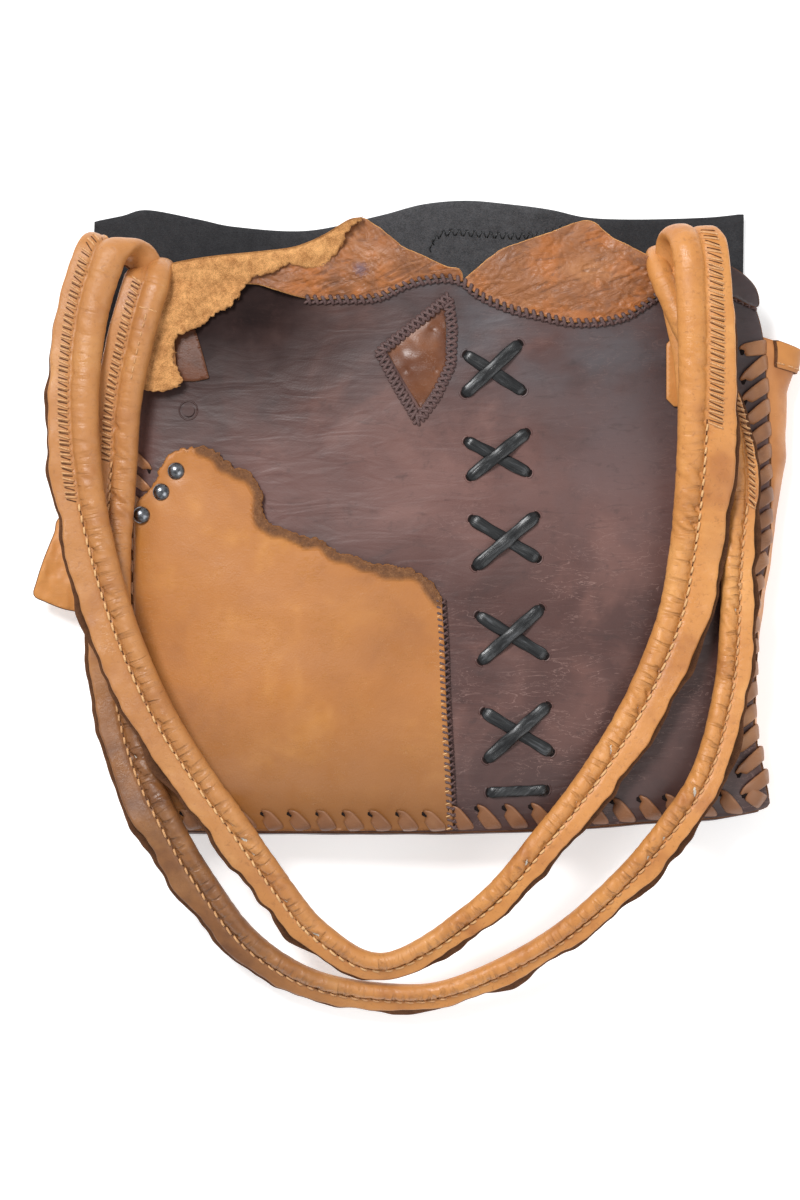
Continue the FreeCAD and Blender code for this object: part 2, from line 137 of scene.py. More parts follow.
class Shader:
    """A small builder for node materials, in object coordinates given in millimetres."""

    def __init__(self, name, roughness, specular=0.5):
        self.material = bpy.data.materials.new(name)
        self.material.use_nodes = True
        self.tree = self.material.node_tree
        self.out = self.tree.nodes["Principled BSDF"]
        self.out.inputs["Roughness"].default_value = roughness
        self.out.inputs["Specular IOR Level"].default_value = specular
        where = self.node("ShaderNodeTexCoord").outputs["Object"]
        scale = self.node("ShaderNodeMapping")
        scale.inputs["Scale"].default_value = (1000, 1000, 1000)
        self.link(where, scale.inputs["Vector"])
        self.where = scale.outputs["Vector"]
        parts = self.node("ShaderNodeSeparateXYZ")
        self.link(self.where, parts.inputs[0])
        self.x, self.y = parts.outputs["X"], parts.outputs["Y"]
        self.bump = None

    def node(self, kind, **settings):
        node = self.tree.nodes.new(kind)
        for key, value in settings.items():
            setattr(node, key, value)
        return node

    def link(self, source, target):
        self.tree.links.new(source, target)

    def feed(self, values, sockets):
        """Each socket takes a number, a fixed colour or another node's output."""
        for value, socket in zip(values, sockets):
            if isinstance(value, (int, float)):
                socket.default_value = value
            elif isinstance(value, tuple):
                socket.default_value = (*value, 1)
            else:
                self.link(value, socket)

    def joined(self, first, second, scale):
        """A place made of two numbers, the second of them scaled."""
        place = self.node("ShaderNodeCombineXYZ")
        self.link(first, place.inputs[0])
        self.link(self.times(second, scale), place.inputs[1])
        return place.outputs[0]

    def stretched(self, scale, turn=0.0, at=None):
        """Object coordinates, or the place at, turned by turn degrees, then scaled along each axis."""
        place = self.where if at is None else at
        if turn:
            turned = self.node("ShaderNodeMapping")
            turned.inputs["Rotation"].default_value = (0, 0, -math.radians(turn))
            self.link(place, turned.inputs["Vector"])
            place = turned.outputs["Vector"]
        mapping = self.node("ShaderNodeMapping")
        mapping.inputs["Scale"].default_value = scale
        self.link(place, mapping.inputs["Vector"])
        return mapping.outputs["Vector"]

    def noise(self, size, detail=4.0, rough=0.55, stretch=(1, 1, 1), twist=0.0, turn=0.0, at=None):
        """Soft cloud noise whose patches are about size millimetres across."""
        cloud = self.node("ShaderNodeTexNoise")
        for key, number in (("Scale", 1.0 / size), ("Detail", detail), ("Roughness", rough), ("Distortion", twist)):
            cloud.inputs[key].default_value = number
        self.link(self.stretched(stretch, turn, at), cloud.inputs["Vector"])
        return cloud.outputs["Fac"]

    def cells(self, size, feature="F1", stretch=(1, 1, 1)):
        cell = self.node("ShaderNodeTexVoronoi", feature=feature)
        cell.inputs["Scale"].default_value = 1.0 / size
        self.link(self.stretched(stretch), cell.inputs["Vector"])
        return cell.outputs["Distance"]

    def ramp(self, value, stops):
        ramp = self.node("ShaderNodeValToRGB")
        ramp.color_ramp.interpolation = "EASE"
        elements = ramp.color_ramp.elements
        while len(elements) < len(stops):
            elements.new(0.5)
        for element, (at, colour) in zip(elements, stops):
            element.position = at
            element.color = (*colour, 1)
        self.link(value, ramp.inputs["Fac"])
        return ramp.outputs["Color"]

    def levels(self, value, low, high, out_low=0.0, out_high=1.0):
        levels = self.node("ShaderNodeMapRange")
        for key, number in (("From Min", low), ("From Max", high), ("To Min", out_low), ("To Max", out_high)):
            levels.inputs[key].default_value = number
        self.link(value, levels.inputs["Value"])
        return levels.outputs["Result"]

    def band(self, value, low, high, width):
        """Thin lines where value passes from low to high, each side fading over width."""
        return self.maths("SUBTRACT", self.levels(value, low, low + width), self.levels(value, high, high + width))

    def blend(self, share, base, top):
        """Colours base and top, mixed by share. Either may be a fixed colour."""
        mix = self.node("ShaderNodeMix", data_type="RGBA")
        self.feed((share, base, top), (mix.inputs[0], mix.inputs[6], mix.inputs[7]))
        return mix.outputs[2]

    def maths(self, operation, first, second):
        node = self.node("ShaderNodeMath", operation=operation)
        self.feed((first, second), node.inputs)
        return node.outputs[0]

    def times(self, first, second):
        return self.maths("MULTIPLY", first, second)

    def attribute(self, name):
        return self.node("ShaderNodeAttribute", attribute_name=name).outputs["Fac"]

    def spot(self, x, y, near, far):
        """1 within near millimetres of a place on the bag's face, fading to 0 at far."""
        flat = self.where
        for operation, fixed in (("SUBTRACT", (x, y, 0)), ("MULTIPLY", (1, 1, 0))):
            step = self.node("ShaderNodeVectorMath", operation=operation)
            self.link(flat, step.inputs[0])
            step.inputs[1].default_value = fixed
            flat = step.outputs[0]
        length = self.node("ShaderNodeVectorMath", operation="LENGTH")
        self.link(flat, length.inputs[0])
        wobble = self.levels(self.noise(far / 3, 4.0), 0.3, 0.7, -0.25 * far, 0.25 * far)
        return self.levels(self.maths("ADD", length.outputs["Value"], wobble), far, near)

    def raise_by(self, height, strength, depth):
        """Adds a layer of bump: height from 0 to 1 stands depth millimetres high."""
        bump = self.node("ShaderNodeBump")
        bump.inputs["Strength"].default_value = strength
        bump.inputs["Distance"].default_value = depth * MM
        self.link(height, bump.inputs["Height"])
        if self.bump is not None:
            self.link(self.bump, bump.inputs["Normal"])
        self.bump = bump.outputs["Normal"]

    def done(self, colour, roughness=None):
        self.link(colour, self.out.inputs["Base Color"])
        if roughness is not None:
            self.link(roughness, self.out.inputs["Roughness"])
        if self.bump is not None:
            self.link(self.bump, self.out.inputs["Normal"])
        return self.material


def tan_leather(name, dark, mid, light, grain=0.9, wear=0.5, sheen=0.42, extra=None):
    """Smooth vegetable-tanned leather: cloudy colour, pores, hair-thin pale creases."""
    s = Shader(name, sheen)
    clouds = s.noise(38.0, 3.0, 0.6, twist=0.4)
    colour = s.ramp(clouds, [(0.25, dark), (0.5, mid), (0.78, light)])
    mottle = s.levels(s.noise(5.0, 5.0, 0.65), 0.3, 0.75)
    colour = s.blend(s.times(mottle, 0.22), colour, dark)
    line = s.band(s.noise(9.0, 6.0, 0.6, (1, 3.5, 1), 1.2), 0.505, 0.52, 0.010)
    patchy = s.levels(s.noise(24.0, 2.0), 0.45, 0.62)
    line = s.times(s.times(line, patchy), wear)
    colour = s.blend(line, colour, light)
    s.raise_by(s.cells(grain), 0.35, 0.10)
    s.raise_by(s.noise(3.2, 6.0, 0.7), 0.4, 0.25)
    s.raise_by(s.maths("SUBTRACT", 1.0, line), 0.4, 0.25)
    gloss = s.levels(s.noise(14.0, 4.0), 0.3, 0.7, sheen - 0.08, sheen + 0.16)
    if extra is not None:
        colour = extra(s, colour)
    return s.done(colour, gloss)


def lace_leather(name, turn):
    """Black waxed lace with lengthwise creases, turn degrees from across the bag; the creases' ridges are painted
    blue-grey as sheen.
    """
    s = Shader(name, 0.24)
    lines = s.noise(1.7, 5.0, 0.6, (0.10, 1, 1), 0.3, turn)
    # Painted sheen: the raised crease ridges go from black to a lighter blue-grey.
    colour = s.ramp(lines, [(0.35, (0.004, 0.004, 0.005)), (0.55, (0.010, 0.011, 0.012)),
                            (0.75, (0.07, 0.074, 0.08))])
    s.raise_by(lines, 0.7, 0.40)
    s.raise_by(s.noise(2.4, 4.0, 0.6), 0.2, 0.10)
    return s.done(colour, s.levels(lines, 0.35, 0.65, 0.22, 0.40))


def left_shade(s, colour):
    """The handles: fine gathers over the roll and wrinkles all over, their valleys darkened with painted shade, and
    painted shade over the left side, away from the light.
    """
    # Painted shade: the handles grow darker toward the left, away from the light.
    share = s.levels(s.x, 40, -110, 0.0, 0.42)
    gathers = s.noise(3.4, 1.0, 0.4, (1, 0.3, 1), 0.3, at=s.joined(s.attribute("run"), s.attribute("arc"), 12.0))
    gathers = s.times(s.levels(gathers, 0.48, 0.34), s.levels(s.attribute("arc"), 0.25, 0.85))
    gathers = s.times(gathers, s.levels(s.y, 110, -10, 0.2, 1.0))
    s.raise_by(s.maths("SUBTRACT", 1.0, gathers), 0.9, 1.0)
    # Painted shade in the valleys of the gathers.
    colour = s.blend(s.times(gathers, 0.42), colour, (0.28, 0.104, 0.027))
    wrinkle = s.noise(2.6, 6.0, 0.7, (1, 1, 1), 0.8)
    s.raise_by(wrinkle, 0.55, 0.45)
    # Painted shade in the valleys of the wrinkles.
    colour = s.blend(s.levels(wrinkle, 0.45, 0.33, 0.0, 0.45), colour, (0.26, 0.094, 0.024))
    return s.blend(share, colour, (0.285, 0.125, 0.050))


def side_shade(s, colour):
    """The back handle's lower left, darkened with painted shade where it faces away from the light."""
    colour = left_shade(s, colour)
    # Painted shade over the back handle's lower left.
    low = s.times(s.levels(s.y, -15, -75), s.levels(s.x, -20, -95))
    blotch = s.levels(s.noise(16.0, 4.0), 0.3, 0.7, 0.55, 0.95)
    return s.blend(s.times(low, blotch), colour, (0.125, 0.046, 0.016))


def foot_shade(s, colour):
    """The lacing is browner toward the base."""
    return s.blend(s.levels(s.y, -40, -105, 0.0, 0.55), colour, (0.150, 0.062, 0.028))


def raw_band_and_shade(s, colour):
    """The pocket: painted shade darkening its foot where it curves down, darker at its left side, and rough dark
    flesh where the mesh says raw.
    """
    raw = s.attribute("raw")
    fibre = s.noise(0.9, 5.0, 0.75, (1, 1, 1), 1.5)
    clumps = s.noise(3.5, 5.0, 0.7)
    both = s.maths("ADD", s.times(fibre, 0.6), s.times(clumps, 0.4))
    torn = s.ramp(both, [(0.32, (0.060, 0.022, 0.010)), (0.5, (0.20, 0.080, 0.028)), (0.68, (0.42, 0.20, 0.075))])
    s.raise_by(s.times(both, raw), 1.0, 1.6)
    # Painted shade: the pocket darkens toward its foot as it curves down to the base.
    foot = s.levels(s.y, -40, -112)
    colour = s.blend(s.times(foot, 0.72), colour, (0.160, 0.064, 0.018))
    side = s.levels(s.x, -134, -152, 0.0, 0.55)
    colour = s.blend(side, colour, (0.22, 0.082, 0.018))
    corner = s.spot(-20, -20, 4, 55)
    colour = s.blend(s.times(corner, 0.4), colour, (0.30, 0.115, 0.034))
    return s.blend(raw, colour, torn)


def smudge_and_fold_shade(s, colour):
    """Orange patches, folds whose hollows are darkened with painted shade, and a blue-grey smudge on the left lobe.
    """
    warm = s.levels(s.noise(16.0, 3.0), 0.48, 0.62)
    colour = s.blend(s.times(warm, 0.5), colour, (0.46, 0.140, 0.022))
    folds = s.noise(13.0, 5.0, 0.55, (0.55, 1.9, 1), 1.8, 18)
    # Painted shade in the hollows of the folds.
    colour = s.blend(s.levels(folds, 0.44, 0.34, 0.0, 0.45), colour, (0.085, 0.030, 0.013))
    s.raise_by(folds, 0.8, 1.9)
    ink = s.times(s.spot(-28, 178, 1.0, 5.0), 0.6)
    return s.blend(ink, colour, (0.075, 0.065, 0.12))


def brown_leather():
    """Dark waxed grain, red-brown below, with horizontal creases; painted sheen, grey near the top and lighter across
    the middle, a near black painted shadow at the top left under the flap, and painted shade toward the base and the
    right edge.
    """
    s = Shader("brown_leather", 0.42)
    colour = s.ramp(s.noise(60.0, 4.0, 0.6, twist=0.5),
                    [(0.30, (0.027, 0.010, 0.009)), (0.5, (0.068, 0.025, 0.020)), (0.72, (0.140, 0.060, 0.047))])
    # Painted sheen: a grey reflection across the top of the panel.
    top = s.times(s.levels(s.y, 90.0, 135.0), s.levels(s.x, -45, 15))
    patch = s.levels(s.noise(45.0, 3.0, 0.5, (1, 1.6, 1)), 0.34, 0.6)
    grey = s.times(s.times(top, patch), 0.68)
    colour = s.blend(grey, colour, (0.080, 0.077, 0.086))
    smoky = s.times(s.spot(118, 84, 12, 56), 0.6)
    colour = s.blend(smoky, colour, (0.072, 0.068, 0.077))
    # Painted shade: the panel darkens toward the base, where it rolls down.
    low = s.levels(s.y, -50.0, -112.0)
    colour = s.blend(s.times(low, 0.75), colour, (0.040, 0.019, 0.018))
    # Painted shade: darker at the right edge, where the panel rolls over.
    edge = s.levels(s.x, 85, 150)
    colour = s.blend(s.times(edge, 0.5), colour, (0.045, 0.020, 0.018))
    # Painted sheen: a lighter band across the middle of the crowned panel.
    middle = s.times(s.levels(s.y, 120.0, 60.0), s.levels(s.y, 5.0, 45.0))
    colour = s.blend(s.times(middle, 0.5), colour, (0.172, 0.082, 0.070))
    # Painted shadow, near black, cast by the folded flap over the panel's top left.
    shade = s.times(s.levels(s.y, 84, 150), s.levels(s.x, 10, -70))
    shade = s.times(shade, s.levels(s.noise(26.0, 4.0), 0.25, 0.6, 0.8, 1.0))
    colour = s.blend(s.times(shade, 0.96), colour, (0.008, 0.004, 0.004))
    wrinkle = s.noise(17.0, 5.0, 0.58, (0.62, 2.6, 1), 1.5)
    pale = s.band(wrinkle, 0.500, 0.512, 0.008)
    where = s.levels(s.noise(40.0, 3.0), 0.40, 0.56)
    pale = s.times(s.times(pale, where), s.levels(s.x, -30, 60, 0.3, 1.0))
    pale = s.times(pale, s.levels(s.y, 70, 10, 0.25, 1.0))
    colour = s.blend(s.times(pale, 0.42), colour, (0.36, 0.22, 0.19))
    dim = s.levels(s.noise(13.0, 6.0, 0.62, (0.6, 2.2, 1), 1.6), 0.42, 0.30)
    colour = s.blend(s.times(dim, 0.3), colour, (0.022, 0.009, 0.008))
    blotch = s.levels(s.noise(7.0, 6.0, 0.7), 0.56, 0.7)
    colour = s.blend(s.times(blotch, 0.35), colour, (0.035, 0.016, 0.014))
    s.raise_by(s.cells(0.8), 0.3, 0.08)
    s.raise_by(s.noise(20.0, 2.0, 0.45, (0.62, 2.2, 1), 0.9), 0.5, 1.0)
    fine = s.cells(3.2, "DISTANCE_TO_EDGE", (0.45, 1.2, 1))
    s.raise_by(s.levels(fine, 0.0, 0.12), 0.12, 0.08)
    s.raise_by(s.noise(2.6, 5.0, 0.6), 0.2, 0.12)
    gloss = s.levels(s.noise(30.0, 5.0), 0.3, 0.7, 0.38, 0.56)
    # Rougher and duller where the painted shadow lies, so no reflection shows through it.
    gloss = s.maths("MAXIMUM", gloss, s.times(shade, 0.8))
    s.link(s.levels(shade, 0.2, 0.9, 0.5, 0.14), s.out.inputs["Specular IOR Level"])
    return s.done(colour, gloss)


def dark_sides(s, colour):
    """The back panel's rim is darkest at both sides."""
    sides = s.maths("MAXIMUM", s.levels(s.x, -15, -85), s.levels(s.x, 60, 115))
    return s.blend(s.times(sides, 0.62), colour, (0.014, 0.014, 0.016))


def suede(name, dark, light, fibre=0.55, depth=0.5, cloudy=0.15, extra=None):
    """Rough flesh side: short fibres, no gloss."""
    s = Shader(name, 0.95, 0.15)
    fuzz = s.noise(fibre, 5.0, 0.8, (1, 2.2, 1), 1.0)
    clouds = s.levels(s.noise(6.0, 7.0, 0.75), 0.3, 0.7)
    both = s.maths("ADD", s.times(fuzz, 1 - cloudy), s.times(clouds, cloudy))
    colour = s.ramp(both, [(0.34, dark), (0.66, light)])
    s.out.inputs["Sheen Weight"].default_value = 0.25
    s.out.inputs["Sheen Roughness"].default_value = 0.5
    s.out.inputs["Sheen Tint"].default_value = (*light, 1)
    s.raise_by(s.noise(2.5, 6.0, 0.8), 0.8, depth)
    s.raise_by(fuzz, 0.8, depth * 0.6)
    if extra is not None:
        colour = extra(s, colour)
    return s.done(colour)


def thread(name, dark, light):
    """Waxed thread with a slanted twist."""
    s = Shader(name, 0.5)
    twist = s.node("ShaderNodeTexWave", wave_type="BANDS", bands_direction="DIAGONAL")
    twist.inputs["Scale"].default_value = 1.1
    twist.inputs["Distortion"].default_value = 1.5
    s.link(s.where, twist.inputs["Vector"])
    strand = twist.outputs["Fac"]
    mix = s.maths("ADD", s.times(strand, 0.5), s.times(s.noise(3.0, 3.0), 0.5))
    colour = s.ramp(mix, [(0.25, dark), (0.75, light)])
    s.raise_by(strand, 0.6, 0.12)
    return s.done(colour)


def gunmetal():
    s = Shader("gunmetal", 0.22)
    s.out.inputs["Metallic"].default_value = 1.0
    colour = s.ramp(s.noise(2.0, 4.0), [(0.3, (0.10, 0.105, 0.115)), (0.7, (0.26, 0.27, 0.29))])
    gloss = s.levels(s.noise(0.8, 4.0), 0.3, 0.7, 0.16, 0.34)
    s.raise_by(s.noise(0.6, 3.0), 0.15, 0.03)
    return s.done(colour, gloss)


TAN = tan_leather("tan_leather", (0.39, 0.145, 0.034), (0.57, 0.235, 0.057), (0.70, 0.325, 0.098))
STRAP, BACK_STRAP = (tan_leather(name, (0.40, 0.145, 0.036), (0.58, 0.245, 0.064), (0.72, 0.35, 0.11), wear=0.25,
                                 sheen=0.36, extra=shade)
                     for name, shade in (("handle_leather", left_shade), ("back_handle_leather", side_shade)))
POCKET = tan_leather("pocket_leather", (0.34, 0.119, 0.022), (0.41, 0.150, 0.027), (0.51, 0.208, 0.042), wear=0.8,
                     extra=raw_band_and_shade)
PATCH = tan_leather("patch_leather", (0.05, 0.015, 0.006), (0.115, 0.033, 0.010), (0.20, 0.066, 0.019), sheen=0.36)
LACE = tan_leather("lace_leather", (0.17, 0.065, 0.026), (0.33, 0.140, 0.055), (0.50, 0.24, 0.10), grain=0.7,
                   extra=foot_shade)
GRAIN_FACING = tan_leather("facing_grain", (0.15, 0.052, 0.018), (0.29, 0.106, 0.034), (0.45, 0.19, 0.070), wear=0.8,
                           extra=smudge_and_fold_shade)
BROWN = brown_leather()
BLACK_LACE = lace_leather("black_lace", 42)
BLACK_LACE_UNDER = lace_leather("black_lace_under", -31)
SIDE = tan_leather("side_leather", (0.38, 0.137, 0.037), (0.56, 0.228, 0.068), (0.68, 0.33, 0.12), wear=0.3)
BLACK_SUEDE = suede("black_suede", (0.028, 0.028, 0.030), (0.100, 0.100, 0.106), 0.8, 0.3, 0.12, dark_sides)
# Near-black suede for the painted shadow inside the lace slits and lace holes.
SLIT_SHADOW = suede("slit_shadow", (0.004, 0.003, 0.003), (0.020, 0.012, 0.011), 0.8, 0.3)
TAN_SUEDE = suede("tan_suede", (0.33, 0.120, 0.034), (0.98, 0.52, 0.20), 0.6, 1.3, 0.22)
# Dark flesh for raw edges, also used for the painted shadows at the handles' stitch holes and ladder stitches.
RAW_EDGE_AND_SHADOW = suede("raw_edge", (0.050, 0.020, 0.012), (0.20, 0.085, 0.038), 0.4, 0.35)
BROWN_FUZZ = suede("brown_fuzz", (0.13, 0.045, 0.014), (0.42, 0.19, 0.070), 0.5, 0.8)
DARK_THREAD = thread("dark_thread", (0.035, 0.018, 0.020), (0.17, 0.095, 0.085))
TAN_THREAD = thread("tan_thread", (0.48, 0.23, 0.080), (0.90, 0.58, 0.28))
LADDER_THREAD = thread("ladder_thread", (0.36, 0.155, 0.058), (0.82, 0.47, 0.21))
METAL = gunmetal()
CORD = thread("cord_filler", (0.45, 0.40, 0.33), (0.80, 0.75, 0.66))


# ---------------------------------------------------------------- mesh helpers

TINY = 1e-9                      # keeps a division by a length of nothing from failing
FINE_STEPS = 12                  # cuts between two given points, before a line is spaced evenly
CHUNK = 4000                     # points measured against a loop at once
ROW_STEP = 0.87                  # a sheet's rows of points, as a share of the spacing along a row
EDGE_CLEAR = 0.6                 # what a sheet's points keep free along an edge, as a share of the spacing
EDGE_OUT = 0.22                  # how far a cut edge swells, as a share of the thickness


def make_piece(name, verts, faces, materials, shades=None, body="root", replaces=(), slot=None):
    """A mesh from millimetre vertices. shades gives each face's material number."""
    mesh = bpy.data.meshes.new(name)
    mesh.from_pydata((np.asarray(verts, float) * MM).tolist(), [], faces)
    for material in materials:
        mesh.materials.append(material)
    if shades is not None:
        mesh.polygons.foreach_set("material_index", shades)
    mesh.polygons.foreach_set("use_smooth", [True] * len(faces))
    mesh.update()
    piece = bpy.data.objects.new(name, mesh)
    bpy.context.scene.collection.objects.link(piece)
    if body:
        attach(piece, body)
    if replaces:
        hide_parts(*replaces)
    return piece


class Bits:
    """Many small closed bits gathered into one mesh."""

    def __init__(self):
        self.verts, self.faces = [], []

    def tube(self, path, radii, sides=6, flat=1.0, up=(0, 0, 1), boxy=1.0):
        """A closed tube along points, round or flattened along up. A boxy below 1 squares its section."""
        path = [np.asarray(p, float) for p in path]
        base = len(self.verts)
        up = np.asarray(up, float)
        for i, point in enumerate(path):
            along = path[min(i + 1, len(path) - 1)] - path[max(i - 1, 0)]
            side = np.cross(along, up)
            side = side / (np.linalg.norm(side) + TINY)
            over = np.cross(side, along)
            over = over / (np.linalg.norm(over) + TINY)
            for k in range(sides):
                turn = 2 * math.pi * k / sides
                across, high = (math.copysign(abs(f) ** boxy, f) for f in (math.cos(turn), math.sin(turn)))
                self.verts.append(point + side * across * radii[i] + over * high * radii[i] * flat)
        for i in range(len(path) - 1):
            for k in range(sides):
                a, b = base + i * sides + k, base + i * sides + (k + 1) % sides
                self.faces.append((a, b, b + sides, a + sides))
        self.faces.append(tuple(base + k for k in range(sides))[::-1])
        self.faces.append(tuple(base + (len(path) - 1) * sides + k for k in range(sides)))

    def stitch(self, start, end, radius, lift=0.5, up=(0, 0, 1)):
        """One sewn stitch, bowed upwards, whose ends dive into the leather."""
        start, end, up = (np.asarray(v, float) for v in (start, end, up))
        path, radii = [], []
        for share in (0.0, 0.12, 0.35, 0.65, 0.88, 1.0):
            rise = lift * (1 - (2 * share - 1) ** 4) - radius * (1.6 if share in (0.0, 1.0) else 0)
            path.append(start + (end - start) * share + up * rise)
            radii.append(radius * (0.55 if share in (0.0, 1.0) else 1.0))
        self.tube(path, radii, 7, 0.85, up)

    def piece(self, name, material, **settings):
        return make_piece(name, self.verts, self.faces, [material], **settings)


def along_line(points, step, smooth=True, closed=False):
    """A line or loop through the points, cut into even steps."""
    points = [np.asarray(p, float) for p in points]
    count = len(points)
    fine = []
    spans = count if closed else count - 1
    for i in range(spans):
        p1, p2 = points[i], points[(i + 1) % count]
        p0 = points[i - 1] if (i or closed) else p1
        p3 = points[(i + 2) % count] if (i + 2 < count or closed) else p2
        for k in range(FINE_STEPS):
            t = k / FINE_STEPS
            if smooth:
                fine.append(0.5 * (2 * p1 + (p2 - p0) * t + (2 * p0 - 5 * p1 + 4 * p2 - p3) * t ** 2
                                   + (3 * p1 - p0 - 3 * p2 + p3) * t ** 3))
            else:
                fine.append(p1 + (p2 - p1) * t)
    fine.append(points[0] if closed else points[-1])
    fine = np.array(fine)
    length = np.concatenate([[0], np.cumsum(np.linalg.norm(np.diff(fine, axis=0), axis=1))])
    steps = max(int(round(length[-1] / step)), 2)
    marks = np.linspace(0, length[-1], steps + 1)
    line = np.stack([np.interp(marks, length, fine[:, k]) for k in range(fine.shape[1])], axis=1)
    return line[:-1] if closed else line


def sideways(line):
    """Unit vectors square to a flat line, to its left."""
    along = np.gradient(line[:, :2], axis=0)
    along = along / (np.linalg.norm(along, axis=1, keepdims=True) + TINY)
    return np.stack([-along[:, 1], along[:, 0]], axis=1)


def ragged(line, amount, size, seed):
    """The line with its points pushed in and out."""
    normal = sideways(line)
    push = np.array([0.7 * noise.fractal(Vector((p[0] / size, p[1] / size, seed)), 0.5, 2.3, 5)
                     + 0.7 * noise.noise(Vector((p[0] / size / 4, p[1] / size / 4, seed + 3))) for p in line])
    return line[:, :2] + normal * (push * amount)[:, None]


def inside(points, loop):
    """Which points lie inside a closed loop."""
    x, y = points[:, 0][:, None], points[:, 1][:, None]
    x0, y0 = loop[:, 0][None], loop[:, 1][None]
    x1, y1 = np.roll(loop[:, 0], -1)[None], np.roll(loop[:, 1], -1)[None]
    crosses = (y0 > y) != (y1 > y)
    where = x0 + (y - y0) * (x1 - x0) / np.where(y1 == y0, TINY, y1 - y0)
    return (crosses & (x < where)).sum(axis=1) % 2 == 1


def near(points, loop, distance):
    """Which points lie closer than distance to the loop's own points."""
    close = np.zeros(len(points), bool)
    for start in range(0, len(points), CHUNK):
        chunk = points[start:start + CHUNK]
        gap = ((chunk[:, None, :] - loop[None]) ** 2).sum(axis=2).min(axis=1)
        close[start:start + CHUNK] = gap < distance ** 2
    return close


def cut_leather(name, outline, place, spacing, thickness, materials, holes=(), **settings):
    """A cut sheet of leather. place(x, y, h) puts a point of the flat cut, h above its underside.

    Its face takes the first material, its edge the second and its underside the third.
    """
    loops = [outline] + list(holes)
    low, high = outline.min(axis=0), outline.max(axis=0)
    grid = [(x + (row % 2) * spacing / 2, y)
            for row, y in enumerate(np.arange(low[1], high[1], spacing * ROW_STEP))
            for x in np.arange(low[0], high[0], spacing)]
    grid = np.array(grid)
    keep = inside(grid, outline)
    for hole in holes:
        keep &= ~inside(grid, hole)
    grid = grid[keep]
    for loop in loops:
        grid = grid[~near(grid, loop, spacing * EDGE_CLEAR)]
    points = [Vector(p) for p in np.concatenate(loops)]
    edges, first = [], 0
    for loop in loops:
        edges += [(first + i, first + (i + 1) % len(loop)) for i in range(len(loop))]
        first += len(loop)
    points += [Vector(p) for p in grid]
    flat, unused, triangles = geometry.delaunay_2d_cdt(points, edges, [], 0, 1e-5)[:3]
    flat = np.array([tuple(p) for p in flat])
    triangles = np.array([tuple(t) for t in triangles])
    centre = flat[triangles].mean(axis=1)
    keep = inside(centre, outline)
    for hole in holes:
        keep &= ~inside(centre, hole)
    triangles = triangles[keep]
    a, b, c = (flat[triangles[:, k]] for k in range(3))
    turned = (b[:, 0] - a[:, 0]) * (c[:, 1] - a[:, 1]) - (b[:, 1] - a[:, 1]) * (c[:, 0] - a[:, 0]) < 0
    triangles[turned] = triangles[turned][:, ::-1]
    count = len(flat)
    verts = [place(x, y, thickness) for x, y in flat] + [place(x, y, 0.0) for x, y in flat]
    faces = [tuple(t) for t in triangles] + [tuple(t[::-1] + count) for t in triangles]
    shades = [0] * len(triangles) + [2] * len(triangles)
    borders = {}
    for t in triangles:
        for i in range(3):
            borders[(t[i], t[(i + 1) % 3])] = True
    rim = [(i, j) for i, j in borders if (j, i) not in borders]
    middle = {}
    for i, j in rim:
        out = np.array([flat[j][1] - flat[i][1], flat[i][0] - flat[j][0]])
        out = out / (np.linalg.norm(out) + TINY)
        for k in (i, j):
            middle.setdefault(k, []).append(out)
    rim_at = {}
    for k, outs in middle.items():
        spot = flat[k] + np.mean(outs, axis=0) * thickness * EDGE_OUT
        rim_at[k] = len(verts)
        verts.append(place(spot[0], spot[1], thickness * 0.5))
    for i, j in rim:
        faces.append((i, rim_at[i], rim_at[j], j))
        faces.append((rim_at[i], i + count, j + count, rim_at[j]))
        shades += [1, 1]
    return make_piece(name, verts, faces, materials, shades, **settings)


def fuzz(bits, line, length, count, seed, height):
    """Loose fibres along a raw edge: thin curved hairs pointing out of it."""
    rng = random.Random(seed)
    normal = sideways(line)
    for unused in range(count):
        i = rng.randrange(len(line))
        turn = rng.gauss(0, 0.7)
        out = np.array([normal[i][0] * math.cos(turn) - normal[i][1] * math.sin(turn),
                        normal[i][0] * math.sin(turn) + normal[i][1] * math.cos(turn)])
        reach = length * rng.uniform(0.3, 1.0)
        x, y = line[i][:2] - out * 0.4
        z = height(x, y) + rng.uniform(0.0, 0.5)
        rise = rng.uniform(-0.2, 0.5) * reach
        curl = rng.uniform(-0.35, 0.35) * reach
        path = []
        for share in (0.0, 0.4, 0.75, 1.0):
            bend = curl * share ** 2
            path.append((x + out[0] * reach * share - out[1] * bend, y + out[1] * reach * share + out[0] * bend,
                         z + rise * share))
        bits.tube(path, [0.2, 0.17, 0.12, 0.04], 3)


# ---------------------------------------------------------------- the shape of the bag

RADIUS = (HALF ** 2 + CROWN ** 2) / (2 * CROWN)
BASE_ROLL = 5.0                  # how far the front panel rolls down to the base seam
SIDE_ROLL = 3.0


def soft(x, y, size, seed):
    return noise.noise(Vector((x / size, y / size, seed)))


def clamp(value):
    return min(max(value, 0.0), 1.0)


def ease_down(distance, reach):
    return clamp(1 - distance / reach) ** 2


RIGHT_EDGE = [(-107, 188), (-99, 188), (-82, 184), (-71, 181.5), (-60, 180.5), (-3, 182.5), (14, 185.5),
              (32, 189), (56, 189.5), (93, 188.5), (140, 186), (160, 181)]
BOTTOM_EDGE = [(LEFT, -119), (20, -119.2), (60, -118.2), (90, -116.8), (121, -114.3), (163, -111.9), (185, -108),
               (190, -105.4)]


def mound(x, y, at, spread):
    """1 at a place on the bag's face, falling off all round it."""
    return math.exp(-((x - at[0]) ** 2 + (y - at[1]) ** 2) / spread)


def edge_at(table, at):
    places, values = zip(*table)
    return float(np.interp(at, places, values))


